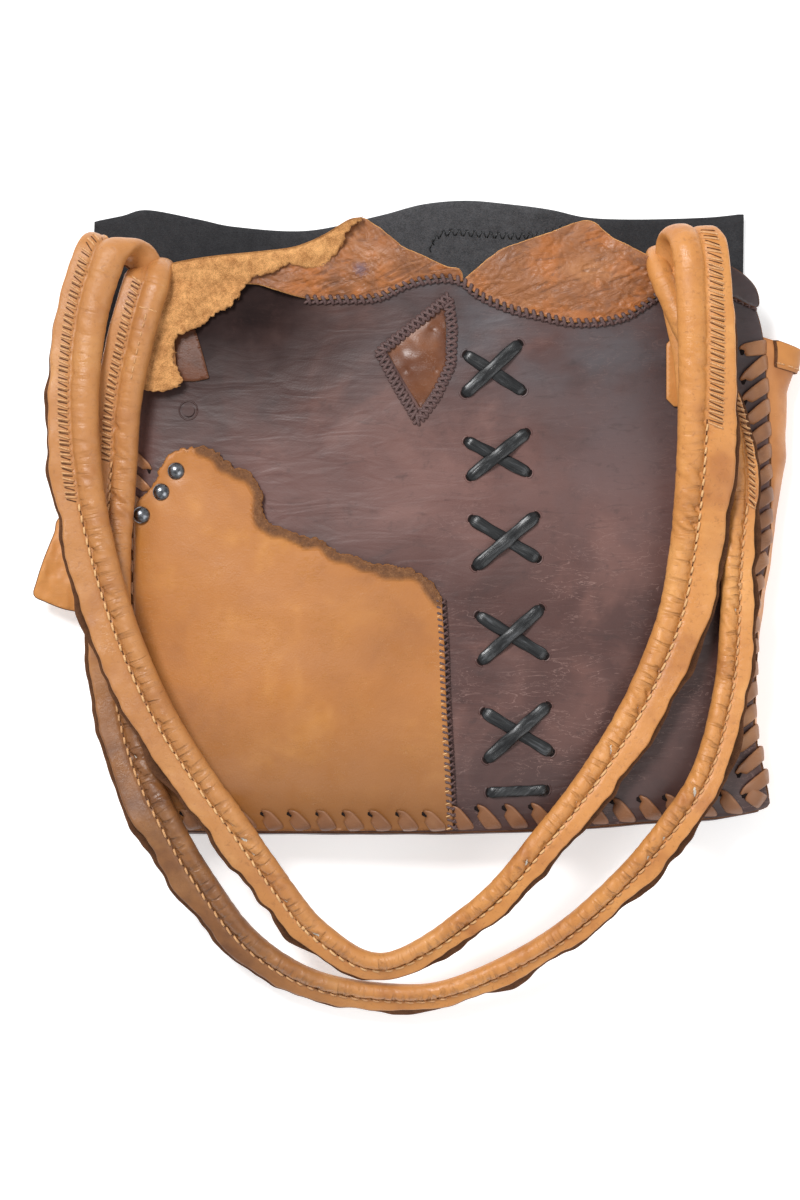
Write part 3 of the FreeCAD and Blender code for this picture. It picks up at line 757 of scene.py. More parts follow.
def front_under(x, y):
    """Height of the front panel's underside."""
    z = SEAM_Z + CROWN - RADIUS + math.sqrt(RADIUS ** 2 - (x - MIDDLE) ** 2)
    z += 1.1 * soft(x, y, 75, 1) + 0.5 * soft(x, y, 26, 2)
    z -= BASE_ROLL * ease_down(y - edge_at(BOTTOM_EDGE, x), 24)
    z -= SIDE_ROLL * (ease_down(edge_at(RIGHT_EDGE, y) - x, 18) + ease_down(x - LEFT, 18))
    return z


def front_top(x, y):
    return front_under(x, y) + LEATHER


def lifted(spot, lift):
    """A point lift above the front panel's outer face."""
    return (spot[0], spot[1], front_top(*spot) + lift)


def on_front(lift):
    """Places a flat cut on the front panel, lift above its outer face."""
    return lambda x, y, h: (x, y, front_top(x, y) + lift + h)


SEAM_LINE = [(-62, 161), (-56, 163), (-38, 163), (-19, 164), (-3, 171), (15, 174), (26, 172), (35, 165),
             (51, 158), (68, 154), (82, 151), (98, 151), (112, 154), (122, 160), (132, 167)]
FRONT_CUT = ([(LEFT, 164), (-130, 170), (-100, 177), (-76, 181), (-64, 176), (-58, 166)]
             + SEAM_LINE[1:] + [(146, 170), (160, 169), (169, 165), (178, 161)]
             + [(x, y) for y, x in RIGHT_EDGE[:0:-1]] + [(189.5, -105)]
             + [(184, -108.2), (163, -112), (121, -114.4), (90, -116.9), (60, -118.3), (20, -119.3), (-60, -119.2),
                (-134, -119.2), (-145, -113), (LEFT, -99), (LEFT, 20)])
DIAMOND_SEAM = [(18, 163), (0, 148.5), (-17.8, 134.6), (-8, 116), (2.4, 98.5), (11.5, 111), (19.5, 128), (20.3, 147)]
DIAMOND_WINDOW = [(16.7, 159.5), (1, 147), (-14.2, 134.8), (-5, 119), (3.6, 104.7), (11, 116), (16.8, 129),
                  (17.2, 147)]
DIAMOND_MIDDLE = (5.0, 131.0)


def corners_kept(points, step):
    """A closed loop that runs straight from each point to the next."""
    return along_line(points, step, smooth=False, closed=True)


WINDOW = corners_kept(DIAMOND_WINDOW, 1.2)


def front_panel():
    outline = along_line(FRONT_CUT, 2.2, closed=True)
    cut_leather("front_panel_skin", outline[::-1], on_front(-LEATHER), 2.3, LEATHER,
                [BROWN, RAW_EDGE_AND_SHADOW, RAW_EDGE_AND_SHADOW], holes=[WINDOW], replaces=["front_panel"], slot="brown_leather")


def diamond():
    """Tan patch seen through the window, domed, with four awl marks, and its whipped seam."""
    outline = corners_kept(DIAMOND_SEAM, 1.2)
    marks = [(-4, 145), (10, 147), (-4, 125), (11.5, 125)]

    def place(x, y, h):
        reach = math.hypot(x - DIAMOND_MIDDLE[0], (y - DIAMOND_MIDDLE[1]) * 0.7)
        dome = 2.6 * max(0.0, 1 - (reach / 16) ** 2)
        pit = sum(1.1 * mound(x, y, mark, 1.4) for mark in marks)
        return (x, y, front_under(x, y) + dome - pit + 0.5 * soft(x, y, 6, 9) + h)

    cut_leather("diamond_patch_skin", outline, place, 1.1, 1.4, [PATCH, RAW_EDGE_AND_SHADOW, PATCH],
                replaces=["diamond_patch"], slot="patch_leather")
    seam = corners_kept(DIAMOND_SEAM, 3.3)
    loop = np.concatenate([seam, seam[:1]])
    normal = -sideways(loop)[:-1]
    along = np.stack([normal[:, 1], -normal[:, 0]], axis=1)
    bits = Bits()
    for lean in (1.7, -1.7):
        for point, out, ahead in zip(seam, normal, along):
            inner, outer = point - out * 2.9 + ahead * lean, point + out * 3.2 - ahead * lean
            bits.stitch(lifted(inner, 0.1), lifted(outer, 0.2), 0.95, 0.9 if lean > 0 else 0.5)
    bits.piece("diamond_stitches", DARK_THREAD, replaces=["diamond_stitching"], slot="dark_thread")


def back_panel():
    top = [(RIGHT - 3.4, 209), (155, 207), (119, 206), (92, 207), (73, 211), (51, 214), (28, 216), (5, 214),
           (-18, 208), (-56, 200), (-94, 202), (-114, 206), (-141, 211), (-154, 208), (BACK_LOW[0], 205)]
    rim = along_line([(x * 1.012, 3.4 + (y - 3.4) * 1.005) for x, y in top], 2.5)
    foot = along_line([(BACK_LOW[0] * 1.012, 206), (BACK_LOW[0], -45), (-160, -78), (-151, -104), (-138, BASE),
                       (55, BASE + 0.5), (100, -114.5), (158, -109.5), (173, -106), (BACK_HIGH[0], -98),
                       (BACK_HIGH[0] * 1.012, 210)], 2.5, smooth=False)
    outline = np.concatenate([rim[:-1], foot])

    def place(x, y, h):
        curl = 2.2 * max(0.0, (y - 165) / 50) ** 2 * (1 + soft(x, 0, 45, 4))
        return (x, y, BACK_LOW[2] + curl + h + 0.3 * max(0.0, soft(x, y, 30, 5)))

    cut_leather("back_panel_skin", outline, place, 3.0, LEATHER, [BLACK_SUEDE, BLACK_SUEDE, BLACK_SUEDE],
                replaces=["back_panel"], slot="black_suede")
    bits = Bits()
    seam = along_line([(8.7, 191.6), (12, 198), (20, 200.5), (38, 199.5), (56.4, 198.5), (70, 200), (84, 204)], 2.1)
    for k, (x, y) in enumerate(seam):
        lean = 1 if k % 2 else -1
        z = place(x, y, LEATHER)[2] + 0.1
        bits.stitch((x - 0.8 * lean, y - 2.0, z), (x + 0.8 * lean, y + 2.0, z), 0.32, 0.3)
    bits.piece("back_patch_stitches", BLACK_LACE, slot="black_suede")


def wall(name, back, front, lift, cut, steps, materials, **settings):
    """A side wall between a line on the back panel and one on the front panel.

    back(t) and front(t) give its two long edges, lift(t, v) how far it bulges along cut.
    """
    across = 14
    verts = []
    for layer in (1.0, 0.0):
        for i in range(steps + 1):
            t = i / steps
            a, b = np.array(back(t)), np.array(front(t))
            for k in range(across + 1):
                v = k / across
                out = np.array(cut(t)) * (lift(t, v) + layer * LEATHER)
                verts.append(a + (b - a) * v + out)
    row = across + 1
    half = (steps + 1) * row
    faces, shades = [], []
    for i in range(steps):
        for k in range(across):
            a = i * row + k
            faces.append((a, a + 1, a + row + 1, a + row))
            faces.append((a + half, a + half + row, a + half + row + 1, a + half + 1))
            shades += [0, 2]
    border = [(k, k + 1) for k in range(across)]
    border += [(i * row + across, (i + 1) * row + across) for i in range(steps)]
    border += [(steps * row + k + 1, steps * row + k) for k in range(across)[::-1]]
    border += [((i + 1) * row, i * row) for i in range(steps)[::-1]]
    for a, b in border:
        faces.append((b, a, a + half, b + half))
        shades.append(1)
    make_piece(name, verts, faces, materials, shades, **settings)


def base_panel():
    start = LEFT + 11
    wide = RIGHT + 6 - start

    def back(t):
        x = start + (wide - 12) * t
        return (x, edge_at(BOTTOM_EDGE, x + 10) + 0.8, BACK_LOW[2] + 0.4)

    def front(t):
        x = start + wide * t
        y = edge_at(BOTTOM_EDGE, x) + 1.2
        return (x, y, front_under(x, y) + 0.6)

    def lift(t, v):
        return 1.2 * math.sin(math.pi * v) ** 0.7 + 0.3 * soft(t * 300, v * 30, 20, 3)

    wall("base_panel_skin", back, front, lift, lambda t: (0, -1, 0), 110,
         [BROWN, RAW_EDGE_AND_SHADOW, RAW_EDGE_AND_SHADOW], replaces=["base_panel"], slot="brown_leather")


# How far out each gusset's bulge reaches, by height up the bag.
RIGHT_REACH = [(-119, 187), (-60, 183), (-20, 184), (25, 191), (55, 195), (79, 199), (116, 199.5), (125, 202),
               (136, 204.5), (144, 206)]
LEFT_REACH = [(-119, 140), (-100, 153), (-60, 158), (60, 160), (144, 158)]
SLANT = 0.27                     # how far the right gusset's mouth end slopes down as it stands out


def gusset(name, side, table, node):
    """side is 1 on the right, -1 on the left."""
    low, high = box_mm(node)
    foot = -106 if side > 0 else low[1]

    def y_at(t):
        return foot + (high[1] - foot) * t

    def back(t):
        x = BACK_HIGH[0] - 1 if side > 0 else LEFT + 11 * ease_down(y_at(t) - foot, 22)
        return (x, y_at(t), BACK_HIGH[2] + 0.2)

    def front(t):
        x = edge_at(RIGHT_EDGE, y_at(t)) - 1.2 if side > 0 else LEFT + 1.2 + 11 * ease_down(y_at(t) - foot, 22)
        return (x, y_at(t), front_under(x, y_at(t)) + 0.4)

    def lift(t, v):
        ends = abs(back(t)[0]) + (abs(front(t)[0]) - abs(back(t)[0])) * v
        out = max(edge_at(table, y_at(t)) - LEATHER - ends, 0.5)
        return out * math.sin(math.pi * v) ** 0.6 + 0.7 * soft(y_at(t), v * 25, 14, 6 + side)

    def cut(t):
        return (side, -SLANT * max(0.0, t - 0.8) / 0.2 if side > 0 else 0, 0)

    wall(name, back, front, lift, cut, 90, [SIDE, RAW_EDGE_AND_SHADOW, TAN],
         replaces=[node], slot="tan_leather")
    return back, front, lift, y_at


def gusset_ears(right_wall):
    """Right: the doubled hem at the gusset's mouth end. Left: the flap that pokes out."""
    back, front, lift, y_at = right_wall
    share_per_mm = 1 / (y_at(1) - y_at(0))

    def shape(x, y, h):
        t, v = (y - y_at(0)) * share_per_mm, (x - 2) / 26
        a, b = np.array(back(t)), np.array(front(t))
        spot = a + (b - a) * v
        out = lift(t, v) + LEATHER + 0.2 + h
        return (spot[0] + out, y - SLANT * out * max(0.0, t - 0.8) / 0.2, spot[2])

    hem = corners_kept([(3, 129), (27, 129), (27, 144.5), (3, 144.5)], 1.5)
    cut_leather("right_gusset_hem", hem, shape, 1.5, 1.6, [TAN, RAW_EDGE_AND_SHADOW, TAN],
                replaces=["right_gusset_ear"], slot="tan_leather")
    bits = Bits()
    for k in range(7):
        a, b = shape(4.5 + 3.4 * k, 131.5, 1.7), shape(6.7 + 3.4 * k, 131.5, 1.7)
        bits.stitch(a, b, 0.4, 0.25, (1, 0, 0.4))
    bits.piece("right_hem_stitches", LADDER_THREAD, slot="tan_leather")
    flap = along_line([(-158, -14), (-168, -7), (-178, -3), (-187, -1), (-196, 2.5), (-202.5, 6), (-201, 13),
                       (-197, 25), (-191.5, 39), (-189, 47), (-175, 56), (-158, 60)], 1.6, closed=True)
    low_left = box_mm("left_gusset_ear")[0]

    def flap_place(x, y, h):
        out = max(0.0, -158 - x)
        wrinkle = 1.1 * noise.fractal(Vector((x / 9, y / 15, 3)), 0.7, 2.1, 4)
        return (x, y, low_left[2] + 4 - 0.11 * out + 2.0 * math.sin(y / 14) + wrinkle + h)

    cut_leather("left_gusset_flap", flap[::-1], flap_place, 1.6, LEATHER, [TAN, RAW_EDGE_AND_SHADOW, TAN_SUEDE],
                replaces=["left_gusset_ear"], slot="tan_leather")


# ---------------------------------------------------------------- facings

def gap_to(line, x, y):
    """Distance from a point to a line's own points."""
    return float(np.sqrt(((line[:, :2] - (x, y)) ** 2).sum(axis=1).min()))


FLAP_TOP = [(-152, 176), (-138, 178), (-127.5, 181.5), (-108.4, 184.7), (-86.7, 186.8), (-66.5, 189), (-57, 191.6),
            (-46.4, 196.4), (-34.2, 203.8), (-27.3, 204.9)]
FLAP_RAW = [(-27.3, 204.9), (-31, 203), (-35.8, 199), (-41, 188.4), (-49, 180.8), (-60.2, 181.5), (-66.5, 182),
            (-76, 177.3), (-86.7, 174.1), (-96.2, 161.4), (-105.7, 156), (-113.7, 149.2), (-124.8, 143.9),
            (-128, 137), (-127.5, 127.5), (-123.8, 120), (-131.7, 115.3), (-142.3, 115.8), (-151, 122)]


def left_lobe():
    """Folded forward on the left, flesh side out, and standing up grain side out by the seam."""
    top = along_line(FLAP_TOP, 1.4)
    raw = along_line(FLAP_RAW, 0.8)
    raw_edge = ragged(raw, 1.5, 3.1, 11)
    raw_edge = np.concatenate([raw[:1, :2], raw_edge[1:-1] + sideways(raw)[1:-1] * 0.8, raw[-1:, :2]])
    outline = np.concatenate([top[:-1], raw_edge[:-1], along_line([(-151, 122), (-152, 176)], 2, False)[:-1]])

    def place(x, y, h):
        fold = gap_to(top, x, y)
        over_leg = clamp((-112 - x) / 8) * clamp((172 - y) / 14)
        z = front_top(x, y) + 1.6 + 5.5 * math.exp(-(fold / 15) ** 2) + 5.2 * over_leg
        z -= 3.6 * (1 - math.sqrt(1 - max(0.0, 1 - fold / 3.6) ** 2))
        z += 1.7 * soft(x, y, 13, 21) + 0.9 * soft(x, y, 5, 22) + 0.5 * soft(x, y, 2.2, 23)
        z -= 2.2 * mound(x, y, (-128, 170), 40)
        return (x, y, z + h)

    cut_leather("left_lobe_flesh", outline[::-1], place, 1.3, LEATHER, [TAN_SUEDE, TAN_SUEDE, GRAIN_FACING],
                slot="facing_leather")
    bits = Bits()
    fuzz(bits, raw_edge[::-1], 3.0, 1700, 31, lambda x, y: place(x, y, 1.2)[2])
    fuzz(bits, top[::-1], 1.1, 420, 32, lambda x, y: place(x, y, 1.2)[2] - 0.4)
    bits.piece("left_lobe_fibres", TAN_SUEDE, slot="facing_leather")
    seam = along_line(SEAM_LINE[1:7], 1.6)
    rise = along_line([(26, 172), (24, 178), (17, 179.5), (5.6, 184.7), (-6, 189.5), (-9.5, 192.5), (-19.3, 200.6),
                       (-27.3, 205.2), (-34, 201), (-43, 190), (-60, 185), (-78, 180), (-92, 173), (-80, 170),
                       (-68, 166), (-56, 163)], 1.6)
    hump("left_lobe_grain", np.concatenate([seam[:-1], rise[:-1]]), seam, 24, "left_facing", 41)


def hump(name, outline, seam, tall, node, seed):
    """A lobe that stands up from the seam: domed, creased, its top edge curling back."""
    def place(x, y, h):
        share = min(gap_to(seam, x, y) / tall, 1.3)
        dome = 4.6 * math.sin(math.pi * min(share, 1.2) * 0.72)
        angle = math.atan2(y - 150, x - 20)
        radial = Vector((angle * 8, math.hypot(x - 20, y - 150) / 24, seed))
        crease = 1 - min(abs(noise.fractal(radial, 0.6, 2.2, 4)) * 2.2, 1.0)
        return (x, y, front_top(x, y) - 0.4 + dome - 1.3 * crease ** 3 + 1.0 * soft(x, y, 9, seed) + h)

    edge = ragged(outline, 0.35, 5.0, seed)
    cut_leather(name, edge, place, 1.0, 2.0, [GRAIN_FACING, TAN_SUEDE, TAN_SUEDE], replaces=[node],
                slot="facing_leather")


def right_lobe():
    seam = along_line(SEAM_LINE[6:], 1.6)
    rise = along_line([(132, 167), (138, 170), (136, 180), (129.6, 182.6), (116.3, 189.5), (104, 195.8),
                       (94.6, 203.3), (85.6, 202.7), (73.4, 198), (58, 192.7), (45.8, 187.9), (32.6, 177.8),
                       (26, 172)], 1.6)
    hump("right_lobe_grain", np.concatenate([seam[:-1], rise[:-1]]), seam, 34, "right_facing", 43)


def corner_lobe():
    outline = along_line([(160, 168), (169, 164.6), (181.5, 159.3), (183.5, 163), (181, 170.4), (174, 177),
                          (166, 181), (158, 182), (150, 176), (151, 170)], 1.4, closed=True)

    def place(x, y, h):
        return (x, y, front_top(x, y) + 1.4 * mound(x, y, (168, 172), 90) + 0.3 + h)

    cut_leather("corner_lobe", outline[::-1], place, 1.4, 2.0, [BROWN, RAW_EDGE_AND_SHADOW, BROWN],
                replaces=["corner_facing"], slot="brown_leather")


def facing_stitches():
    """The whipped seam: fat slanted stitches over the edge, with a chain along its lower side."""
    bits = Bits()
    for run in (SEAM_LINE[1:], [(160, 168), (169, 164.6), (181.5, 159.3)]):
        seam = along_line(run, 4.1)
        normal = sideways(seam)
        fat = 1.0 if run[0][0] < 100 else 0.55
        for point, up in zip(seam, normal):
            ahead = np.array([up[1], -up[0]])
            low = point - up * 3.1 * fat + ahead * 1.5
            high = point + up * 1.9 * fat - ahead * 0.7
            bits.stitch(lifted(low, 0.2), lifted(high, 1.5), fat + 0.1, 0.9)
            start = point - up * 2.6 * fat - ahead * 2.0
            end = point - up * 0.6 * fat + ahead * 1.5
            bits.stitch(lifted(start, 0.2), lifted(end, 0.9), 0.62 * fat + 0.1, 1.0)
    bits.piece("facing_stitches", DARK_THREAD, replaces=["facing_stitching"], slot="dark_thread")


# ---------------------------------------------------------------- black lacing

CROSSES = [((26, 111.5), (57, 140), (26.5, 134), (59, 113)), ((28.5, 67.5), (61, 93), (27, 88), (62, 70)),
           ((31.5, 20), (66, 49), (29.5, 47), (67, 24.5)), ((34.5, -30), (68.5, 0), (33, -4), (71, -27)),
           ((37.5, -82), (72, -51.5), (36, -55), (74, -78))]


STRIP_STEPS = 30
DIVE = 0.24                      # the share of each half of a strip over which it dives in


def lace_strip(bits, start, end, half, lift, seed):
    """A domed strip between two slits, its ends narrowing as they dive in."""
    start, end = np.array(start, float), np.array(end, float)
    path, widths = [], []
    rng = random.Random(seed)
    wave = rng.uniform(0, 6)
    for k in range(STRIP_STEPS + 1):
        share = k / STRIP_STEPS
        near_end = min(share, 1 - share) * 2
        x, y = start + (end - start) * share
        dive = max(0.0, 1 - near_end / DIVE)
        rise = 0.85 + lift * math.exp(-((share - 0.5) / 0.2) ** 2) + 0.3 * math.sin(9 * share + wave)
        path.append((x, y, front_top(x, y) + rise - 2.2 * dive ** 2.5))
        widths.append(half * (1 - 0.62 * dive ** 2.6) * (1 + 0.05 * math.sin(17 * share + wave)))
    bits.tube(path, widths, 20, 0.33, boxy=0.85)


def slit(dark, lips, at, along, half):
    """A cut across the strip's end, a dark tube in it as its painted shadow, with a lip of leather pushed up round
    its far side.
    """
    at, along = np.array(at, float), np.array(along, float) / np.linalg.norm(along)
    side = np.array([-along[1], along[0]])
    inner, outer = [], []
    for k in range(9):
        turn = math.pi * (k / 8 - 0.5)
        spot = at + side * math.sin(turn) * half + along * (math.cos(turn) * 1.0 - 1.0)
        rim = at + side * math.sin(turn) * (half + 0.7) + along * (math.cos(turn) * 1.8 - 0.8)
        inner.append(lifted(spot, 0.02))
        outer.append(lifted(rim, -0.12))
    # Painted shadow inside the slit.
    dark.tube(inner, [0.3] + [0.7] * 7 + [0.3], 8, 0.3)
    lips.tube(outer, [0.2] + [0.6] * 7 + [0.2], 8, 0.7)


def black_lacing():
    # dark gathers the painted shadows inside the slits.
    over, under, bar, dark, lips = Bits(), Bits(), Bits(), Bits(), Bits()
    for number, (a, b, c, d) in enumerate(CROSSES):
        lace_strip(under, c, d, 3.3, 0.0, 50 + number)
        lace_strip(over, a, b, 3.5, 1.9, 60 + number)
        for first, second in ((a, b), (b, a), (c, d), (d, c)):
            along = np.subtract(first, second)
            slit(dark, lips, first, along, 1.9)
    lace_strip(bar, (38, -98.5), (72, -97), 2.8, 0.0, 70)
    slit(dark, lips, (38.5, -98.5), (-1, 0), 2.2)
    slit(dark, lips, (71.5, -97), (1, 0), 2.2)
    for bits, name, material, node in ((over, "cross_laces_over", BLACK_LACE, "cross_lace_over"),
                                       (under, "cross_laces_under", BLACK_LACE_UNDER, "cross_lace_under"),
                                       (bar, "cross_lace_bottom_bar", BLACK_LACE, "cross_lace_bar")):
        bits.piece(name, material, replaces=[node], slot="black_lace")
    # The dark tubes are painted shadow in the slits.
    dark.piece("lace_slit_shadows", SLIT_SHADOW, slot="brown_leather")
    lips.piece("lace_slit_lips", BROWN, slot="brown_leather")


# ---------------------------------------------------------------- pocket

POCKET_TOP = [(-149, 50), (-146, 56), (-137, 66), (-132, 75), (-127, 82), (-115, 84), (-108, 83), (-96, 75),
              (-86, 70), (-81, 60), (-80, 48), (-73, 43), (-60, 37), (-51, 36), (-39, 28), (-22, 23), (-8, 20),
              (-3, 20), (3, 17), (10, 11), (14.5, 5)]
POCKET_RIGHT = [(14.5, 5), (16, -20), (17, -50), (19, -86), (20.5, -115.2), (20.5, -118)]
RIVETS = [(-125.9, 71.8), (-133.8, 60.7), (-144.4, 48.5)]


def pocket_lift(x, y):
    """The pocket's own fullness: it stands off the front below its open edge."""
    return 0.3 + 1.6 * math.exp(-((x + 62) / 70) ** 2) * clamp((y + 120) / 60)


def pocket():
    top = along_line(POCKET_TOP, 1.0)
    edge = ragged(top, 2.0, 3.3, 14)
    right = along_line(POCKET_RIGHT, 2.0)
    foot = along_line([(20.5, -118), (-60, -118.5), (-134, -118.5), (-144.5, -112.5), (LEFT + 0.5, -99),
                       (LEFT + 0.5, 48)], 2.0, smooth=False)
    outline = np.concatenate([edge[:-1], right[:-1], foot[:-1]])

    def place(x, y, h):
        curl = gap_to(top, x, y)
        lip = 0.9 * math.exp(-(curl / 4) ** 2) * (0.5 + soft(x, y, 12, 15))
        seats = sum(mound(x, y, rivet, 30) for rivet in RIVETS)
        return (x, y, front_top(x, y) + pocket_lift(x, y) * (1 - min(seats, 1.0)) + lip + h)

    skin = cut_leather("pocket_skin", outline[::-1], place, 1.7, LEATHER, [POCKET, BROWN_FUZZ, BROWN_FUZZ],
                       replaces=["front_pocket"], slot="pocket_leather")
    raw = skin.data.attributes.new("raw", "FLOAT", "POINT")
    inner = top[top[:, 0] > -112]
    amounts = []
    for vertex in skin.data.vertices:
        x, y = vertex.co.x / MM, vertex.co.y / MM
        gap = gap_to(inner, x, y)
        wide = 6.2 + 2.6 * soft(x, y, 9, 16)
        amounts.append(clamp((wide - gap) / 2.2))
    raw.data.foreach_set("value", amounts)
    bits = Bits()
    fuzz(bits, edge[::-1], 2.0, 1300, 33, lambda x, y: place(x, y, 1.4)[2])
    bits.piece("pocket_fibres", BROWN_FUZZ, slot="pocket_leather")


def pocket_stitches():
    dark, gold = Bits(), Bits()
    line = along_line([(15, 2), (16.5, -20), (17.5, -50), (19.5, -86), (21, -117)], 3.3)
    for i, (x, y) in enumerate(line):
        z = front_top(x, y)
        dark.stitch((x - 3.4, y + 1.3, z + 2.9), (x + 2.4, y - 0.7, z + 0.3), 0.68, 1.0)
        dark.stitch((x - 0.4, y - 0.6, z + 2.6), (x + 2.2, y + 1.5, z + 0.3), 0.55, 0.9)
        if i % 2 == 0:
            gold.stitch((x - 3.6, y - 0.9, z + 2.7), (x - 1.2, y - 0.1, z + 2.6), 0.34, 0.4)
    dark.piece("pocket_stitches", DARK_THREAD, replaces=["pocket_stitching"], slot="dark_thread")
    gold.piece("pocket_stitch_flecks", TAN_THREAD, slot="dark_thread")


# ---------------------------------------------------------------- edge lacing

def wrap(lace, holes, spot, out, lean, reach, over, drop, z_at, flip=1, half=3.1):
    """One turn of lace over an edge: up through a hole, across the face and down the side.

    out points off the edge at spot. The turn slants by lean, starts reach inside the edge and ends
    over past it, then goes down by drop. z_at gives the face's height, and flip is -1 on the back.
    """
    spot, out = np.array(spot, float), np.array(out, float)
    ahead = np.array([out[1], -out[0]])
    start = spot - out * reach + ahead * lean * 0.5
    end = spot + out * over - ahead * lean * 0.5
    path = []
    for share, high in ((0.0, -1.0), (0.1, 0.3), (0.25, 1.0), (0.5, 1.25), (0.75, 1.05), (0.92, 0.1)):
        x, y = start + (end - start) * share
        path.append((x, y, z_at(x, y) + high * flip))
    x, y = end
    path.append((x + out[0] * 0.5, y + out[1] * 0.5, path[-1][2] - flip * drop * 0.45))
    path.append((x - out[0] * 0.8, y - out[1] * 0.8, path[-2][2] - flip * drop))
    half_widths = [half * s for s in (0.75, 0.9, 0.96, 1.0, 1.0, 1.0, 1.0, 1.0)]
    smooth = along_line(path, 0.9)
    sizes = np.interp(np.linspace(0, 1, len(smooth)), np.linspace(0, 1, len(path)), half_widths)
    lace.tube(smooth, sizes, 14, 0.25, (out[0], out[1], flip), boxy=0.6)
    if holes is not None:
        # A dark tube at the hole: painted shadow inside it.
        across = [start - out * 0.3 + ahead * side for side in (-2.5, 0.0, 2.5)]
        points = [(*place, z_at(*place)) for place in across]
        holes.tube(points, [0.2 * half, 0.5 * half, 0.2 * half], 10, 0.25, (0, 0, 1))


POCKET_SEAM_X = 20
BASE_PITCH, RIGHT_PITCH, SIDE_PITCH = 14.3, 11.6, 11.8
BASE_HALF, RIGHT_HALF, SIDE_HALF = 4.4, 4.0, 3.0      # half the width of the lace on each edge
SIDE_FIRST = -100                                     # where the lacing up both sides starts


def on_pocket(x, y):
    return front_top(x, y) + (2.9 if x < POCKET_SEAM_X else 0.1)


def below_back(x, y):
    return BACK_LOW[2] - 0.1


def edge_lacing():
    holes = Bits()
    lace = Bits()
    rng = random.Random(5)
    x = LEFT + 16
    while x < 178:
        y = edge_at(BOTTOM_EDGE, x) + 2.2
        lean, reach = (5.5, 7.2) if x < POCKET_SEAM_X else (8, 9.5)
        wrap(lace, holes, (x, y), (0, -1), lean + rng.uniform(-1, 1), reach, 0.4, 6, on_pocket, half=BASE_HALF)
        x += BASE_PITCH
    lace.piece("bottom_lace", LACE, replaces=["front_bottom_lacing", "pocket_bottom_lacing"], slot="tan_lace")
    lace = Bits()
    y = 137.0
    while y > -100:
        x = edge_at(RIGHT_EDGE, y)
        lean = 2.0 if y > 134 else 9.5 + rng.uniform(-1, 1)
        wrap(lace, holes, (x, y), (1, 0), lean, 11.5, 0.9, 8, front_top, half=RIGHT_HALF)
        y -= RIGHT_PITCH
    wrap(lace, holes, (184.5, -104), (0.8, -0.6), 1.0, 9, 0.4, 6, front_top, half=BASE_HALF)
    lace.piece("right_lace", LACE, replaces=["front_right_lacing"], slot="tan_lace")
    lace = Bits()
    for k in range(16):
        wrap(lace, holes, (LEFT, SIDE_FIRST + SIDE_PITCH * k), (-1, 0), -8, 8.5, 0.8, 7, front_top, half=SIDE_HALF)
    lace.piece("left_lace", LACE, replaces=["front_left_lacing"], slot="tan_lace")
    # The dark tubes are painted shadow in the lace holes.
    holes.piece("lace_hole_shadows", SLIT_SHADOW, slot="brown_leather")
    backs = {"left": Bits(), "right": Bits(), "bottom": Bits()}
    for k in range(20):
        x, y = LEFT + 18 + BASE_PITCH * k, SIDE_FIRST + SIDE_PITCH * k
        low = edge_at(BOTTOM_EDGE, x + 10) + 1.5
        for edge, spot, out, lean, over in (("left", (LEFT - 1, y), (-1, 0), -8, 0.6),
                                            ("right", (BACK_HIGH[0], y), (1, 0), 8, 0.8),
                                            ("bottom", (x, low), (0, -1), -9, 0.6)):
            if edge != "right" or -96 < y < 138:
                wrap(backs[edge], None, spot, out, lean, 8.5, over, 5, below_back, flip=-1, half=SIDE_HALF)
    for edge, bits in backs.items():
        bits.piece("back_" + edge + "_lace", LACE, replaces=["back_" + edge + "_lacing"], slot="tan_lace")


# ---------------------------------------------------------------- handles

def spline(points, step):
    """A smooth line near its control points, by repeated corner cutting, in even steps."""
    line = np.array(points, float)
    for unused in range(CORNER_CUTS):
        cut = np.empty((2 * len(line), line.shape[1]))
        cut[0], cut[-1] = line[0], line[-1]
        cut[1:-1:2] = line[:-1] * 0.75 + line[1:] * 0.25
        cut[2:-1:2] = line[:-1] * 0.25 + line[1:] * 0.75
        line = cut
    return along_line(line, step, smooth=False)


def unit(rows):
    return rows / (np.linalg.norm(rows, axis=-1, keepdims=True) + 1e-12)


def lean_normal(y):
    """Square to the flange: up over the bag, and leaning over past its base."""
    lean = math.radians(32 * clamp((-105 - y) / 80))
    return (0, -math.sin(lean), math.cos(lean))


OUTER = 6.3                      # from a handle's line out to the far side of its roll
SEAM_PITCH = 5.8
SEAM_STITCH = 3.9                # the part of that pitch a stitch covers
SEAM_HOLE = (4.1, 5.6)           # and where the hole after it lies
LADDER_PITCH = 3.1
ARC = 17                         # points round the part of the roll that shows
FILL = 14                        # points that stand in for the flange where there is none
CREASE_WIDE = 140.0              # how far from a join the strap regains its full creases
CORNER_CUTS = 4                  # rounds of corner cutting along a fold
LOOP_SMOOTHING = 12              # rounds of smoothing along a loop


